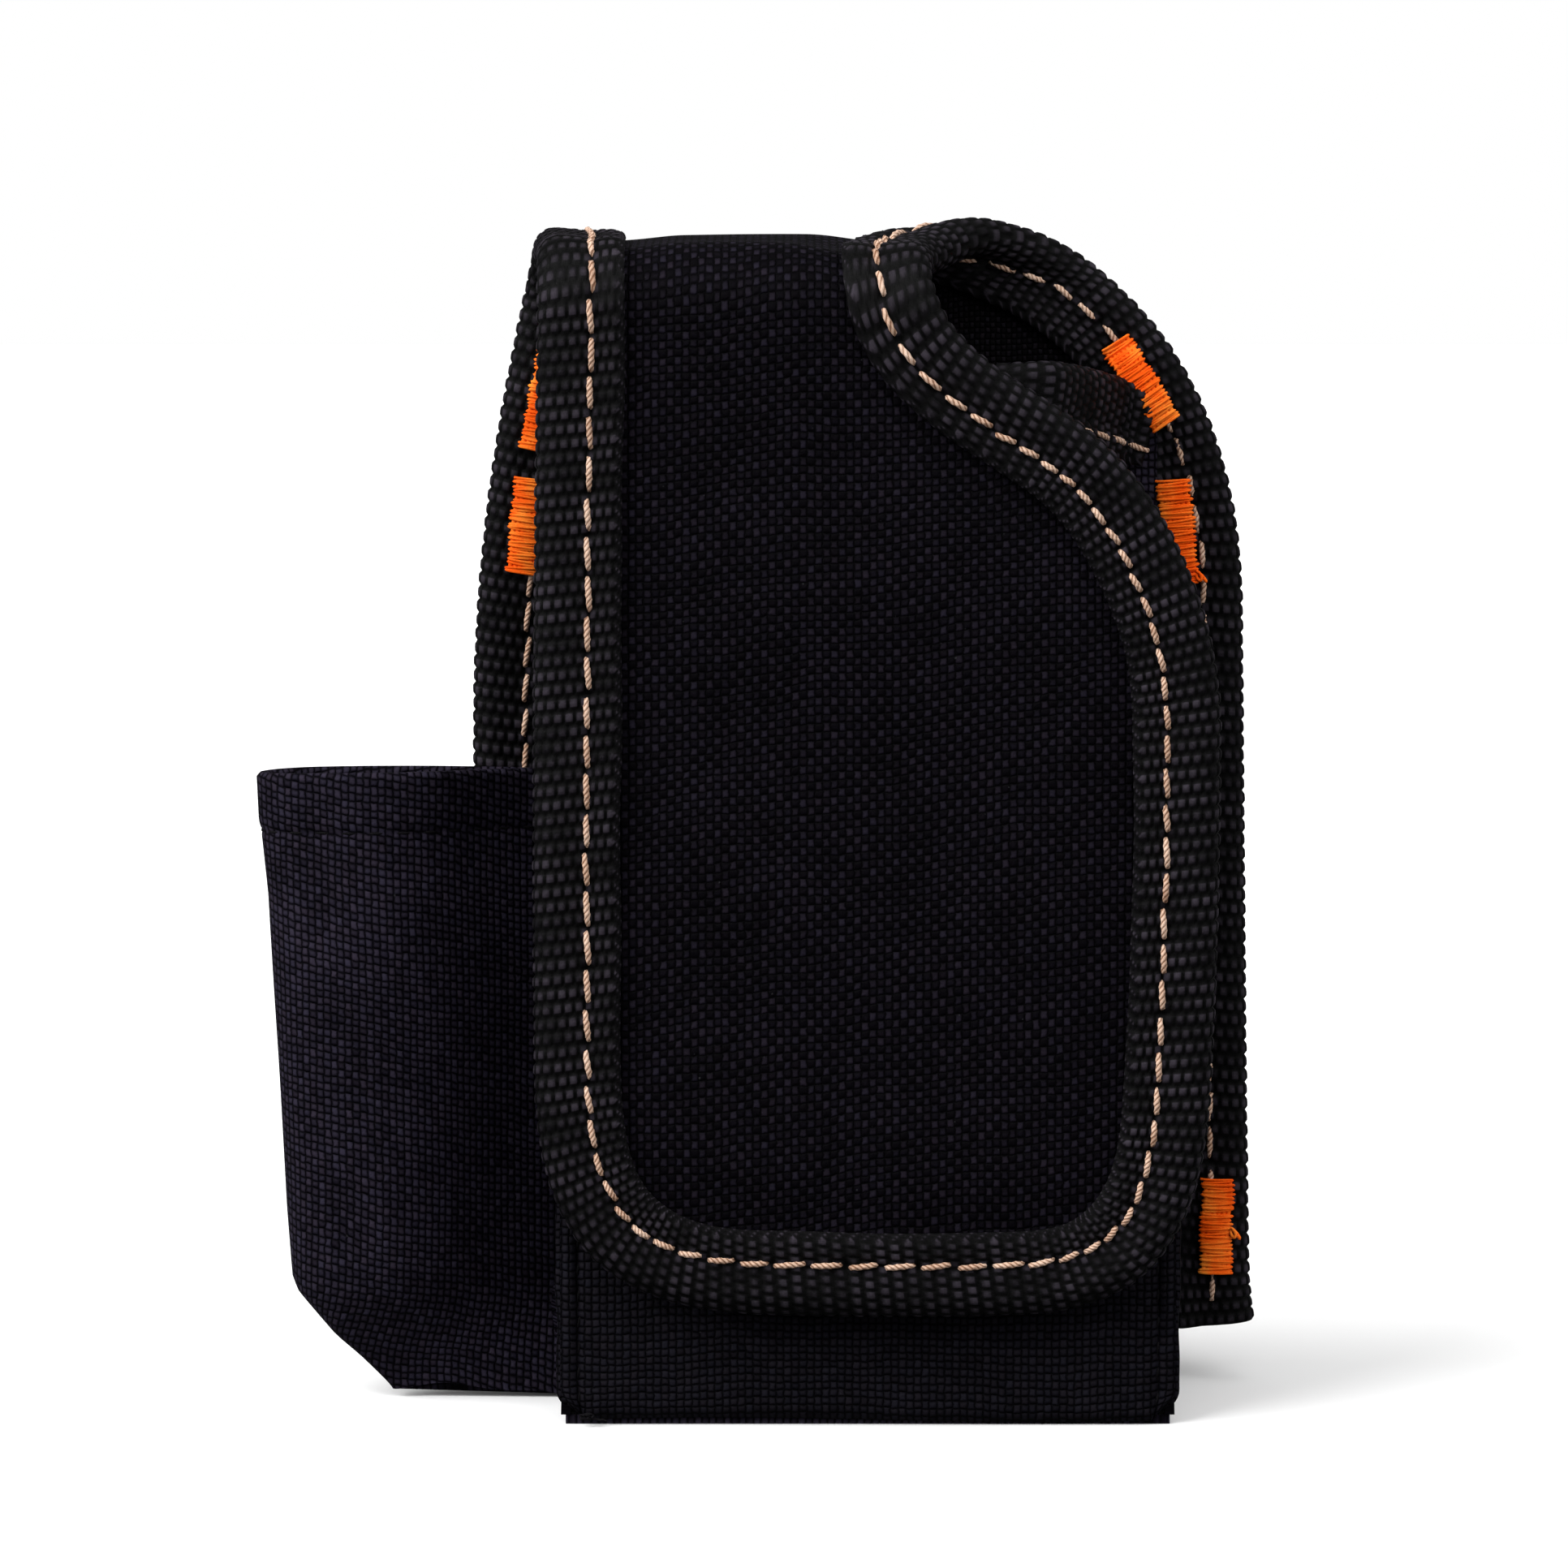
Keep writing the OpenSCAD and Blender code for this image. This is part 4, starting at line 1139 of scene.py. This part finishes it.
def bar_tack(shape, place, middle, lean, long, wide, height, seed, tail=None, bridge=0.0):
    """A dense zigzag of thread over a padded bar. tail is the place along it of a curl of loose thread, and
    bridge is how much higher it runs past its top end, over what it holds down."""
    draw = np.random.default_rng(seed)
    c, s = math.cos(math.radians(lean)), math.sin(math.radians(lean))

    def put(across, along, n):
        hump = bridge * np.cos(math.pi * np.clip(along / long + 0.13, -0.5, 0.5)) ** 0.3
        return place(middle[0] + across * c + along * s, middle[1] - across * s + along * c, n + hump)

    rungs = int(long / 0.27)
    k = np.arange(rungs * 10 + 1) / 10
    swing = np.cos(math.pi * k)
    wander = np.interp(k, np.linspace(0, rungs, 9), draw.normal(0, 0.14, 9))
    reach = np.interp(k, np.arange(rungs + 1), wide / 2 * draw.uniform(0.9, 1.05, rungs + 1))
    drift = np.interp(k, np.arange(rungs + 1), draw.normal(0, 0.12, rungs + 1))
    across = np.sign(swing) * np.abs(swing) ** 0.8 * reach
    dome = (1 - (across / (wide / 2 * 1.12)) ** 2).clip(0, 1) ** 0.5
    tube(shape, put(across + wander, (k / rungs - 0.5) * long + drift,
                    height - 0.5 + 0.95 * dome + 0.08 * np.sin(k * 2.1)), 0.175)
    if tail is not None:
        turn = np.linspace(0, 9.5, 60)
        curl = wide / 2 - 0.3 + 0.09 * turn + 0.42 * np.sin(turn)
        tube(shape, put(curl, tail * long + 0.5 * np.cos(turn * 1.15) - 0.04 * turn,
                        height + 0.25 + 0.3 * np.sin(turn * 0.7)), 0.2)
    # the bar's padding
    run = np.linspace(-0.48, 0.48, 20) * long
    shift = np.interp((run / long + 0.5) * rungs, k[:rungs * 10], wander[:rungs * 10])
    for offset in np.linspace(-0.36, 0.36, 6) * wide:
        sunk = height - 0.62 + 0.7 * (1 - (2 * offset / (wide * 1.1)) ** 2) ** 0.5
        tube(shape, put(offset + shift, run, sunk + 0 * run), 0.36)


front_tacks, rear_tacks = Shape(), Shape()
for k, (x, z, lean, long, wide, height, tail, bridge) in enumerate((
    (46.9, 124.1, -33, 11.7, 4.1, 3.4, None, 2.8), (51.7, 106.3, -5.5, 12.4, 4.3, 3.4, -0.43, 0),
    (57.3, 19.8, 0, 12.2, 4.1, 3.3, -0.05, 0), (-26.9, 124.0, 12, 12.6, 4.0, 3.1, None, 0),
    (-29.2, 108.3, 6, 12.2, 4.1, 3.1, None, 0), (-31.0, 19.8, 0, 12.0, 4.0, 3.1, None, 0),
)):
    bar_tack(front_tacks, on_back, (x, z), lean, long, wide, height, 70 + k, tail, bridge)
fixed(front_tacks, "front_bar_tacks", orange_thread, "tack_thread", "bartacks_front")
for k, (x, z, lean) in enumerate(((46.9, 124.1, -33), (-26.9, 124.0, 12))):
    bar_tack(rear_tacks, on_rear, (x, z), lean, 11.8, 3.8, 2.6, 80 + k)
for k, (x, z) in enumerate(((52, 107), (52, 20), (-27, 107), (-27, 20))):
    bar_tack(rear_tacks, on_loop, (x, z), 0, 11.6, 3.9, 2.0, 90 + k)
fixed(rear_tacks, "rear_bar_tacks", orange_thread, "tack_thread", "bartacks_rear")


# ---- the closure ----

(PATCH_LEFT, _, PATCH_LOW), (PATCH_RIGHT, _, PATCH_HIGH) = node_box("hook_patch")


def on_flap_inside(x, z, n):
    """A place on the flap's lining side, n behind the strip's middle."""
    return strip(x, front_s(z), -np.asarray(n, float))


def patch(name, node, body, place, height, hooked):
    """A patch of hooks, or of soft loops, with a woven base sewn on round its edge."""
    base = slab(np.linspace(PATCH_LEFT, PATCH_RIGHT, 30), np.linspace(PATCH_LOW, PATCH_HIGH, 16),
                level(height + 0.4), level(height - 0.1), place)
    draw = np.random.default_rng(100 + hooked)
    step, bow, high, foot, stray, radius = (1.35, 1.35, 0.28, 0.24, 0.05, 0.09) if hooked else (
        1.2, 1.0, 0.30, 0.12, 0.3, 0.06)
    a = np.linspace(0, bow * math.pi, 7)
    for x in np.arange(PATCH_LEFT + 2.6, PATCH_RIGHT - 2.4, step):
        for z in np.arange(PATCH_LOW + 2.4, PATCH_HIGH - 2.2, step):
            turn = 0.0 if hooked else draw.uniform(0, math.pi)
            size = 0.3 if hooked else draw.uniform(0.32, 0.5)
            across = -size * np.cos(a)
            dx = x + draw.normal(0, stray)
            tube(base, place(dx + across * math.cos(turn), z + across * math.sin(turn),
                             height + 0.35 + 0.9 * (foot + high * np.sin(a))), radius, 4)
    fixed(base, name, hook_tape if hooked else loop_tape, "hook_loop", node, body=body)
    x0, x1, z0, z1 = PATCH_LEFT + 1.2, PATCH_RIGHT - 1.2, PATCH_LOW + 1.2, PATCH_HIGH - 1.2
    line = Path([[[x0, z0], [x0, z1], [x1, z1], [x1, z0], [x0, z0]]])
    edge = Shape()
    seam(edge, line, stitch_ends(0, line.length, 3.0), place, 0.0, height + 0.35, drift=0, seed=110,
         radius=0.2)
    fixed(edge, f"{name}_stitches", black_thread, "thread", body=body)


patch("hook_patch_hooks", "hook_patch", "pouch", on_front, 0.3, True)
patch("loop_patch_loops", "loop_patch", "flap", on_flap_inside, 1.75, False)


# ---- studio ----

def soft_sun(name, towards, strength, spread):
    """A broad soft light from one direction, spread over an angle in degrees."""
    light = bpy.data.objects.new(name, bpy.data.lights.new(name, "SUN"))
    bpy.context.scene.collection.objects.link(light)
    light.data.energy = strength
    light.data.angle = math.radians(spread)
    x, y, z = towards
    light.rotation_euler = (math.atan2(math.hypot(x, y), z), 0, math.atan2(y, x) + math.pi / 2)


def make_stage():
    """A pale floor, and a white world that gives little light of its own."""
    mesh = bpy.data.meshes.new("floor")
    size = 6.0
    corners = [(-size, -size, 0), (size, -size, 0), (size, size, 0), (-size, size, 0)]
    mesh.from_pydata(corners, [], [(0, 1, 2, 3)])
    floor = bpy.data.objects.new("floor", mesh)
    bpy.context.scene.collection.objects.link(floor)
    paint = Nodes("floor", Base_Color=(0.92, 0.92, 0.92, 1), Roughness=0.9)
    mesh.materials.append(paint.material)
    floor.visible_diffuse = False
    floor.visible_glossy = False
    world = bpy.data.worlds.new("studio")
    bpy.context.scene.world = world
    world.use_nodes = True
    tree = world.node_tree
    backdrop = tree.nodes["Background"]
    backdrop.inputs["Color"].default_value = (1, 1, 1, 1)
    seen = tree.nodes.new("ShaderNodeLightPath").outputs["Is Camera Ray"]
    strength = tree.nodes.new("ShaderNodeMapRange")
    strength.inputs["To Min"].default_value = 0.23
    strength.inputs["To Max"].default_value = 1.0
    tree.links.new(seen, strength.inputs["Value"])
    tree.links.new(strength.outputs["Result"], backdrop.inputs["Strength"])
    soft_sun("key", (-0.95, -0.5, 0.75), 4.6, 50)
    soft_sun("top", (0.1, -0.3, 1.0), 1.7, 80)
    soft_sun("side", (0.8, -0.7, 0.7), 1.4, 60)


make_stage()
bpy.context.scene.view_settings.view_transform = "Standard"
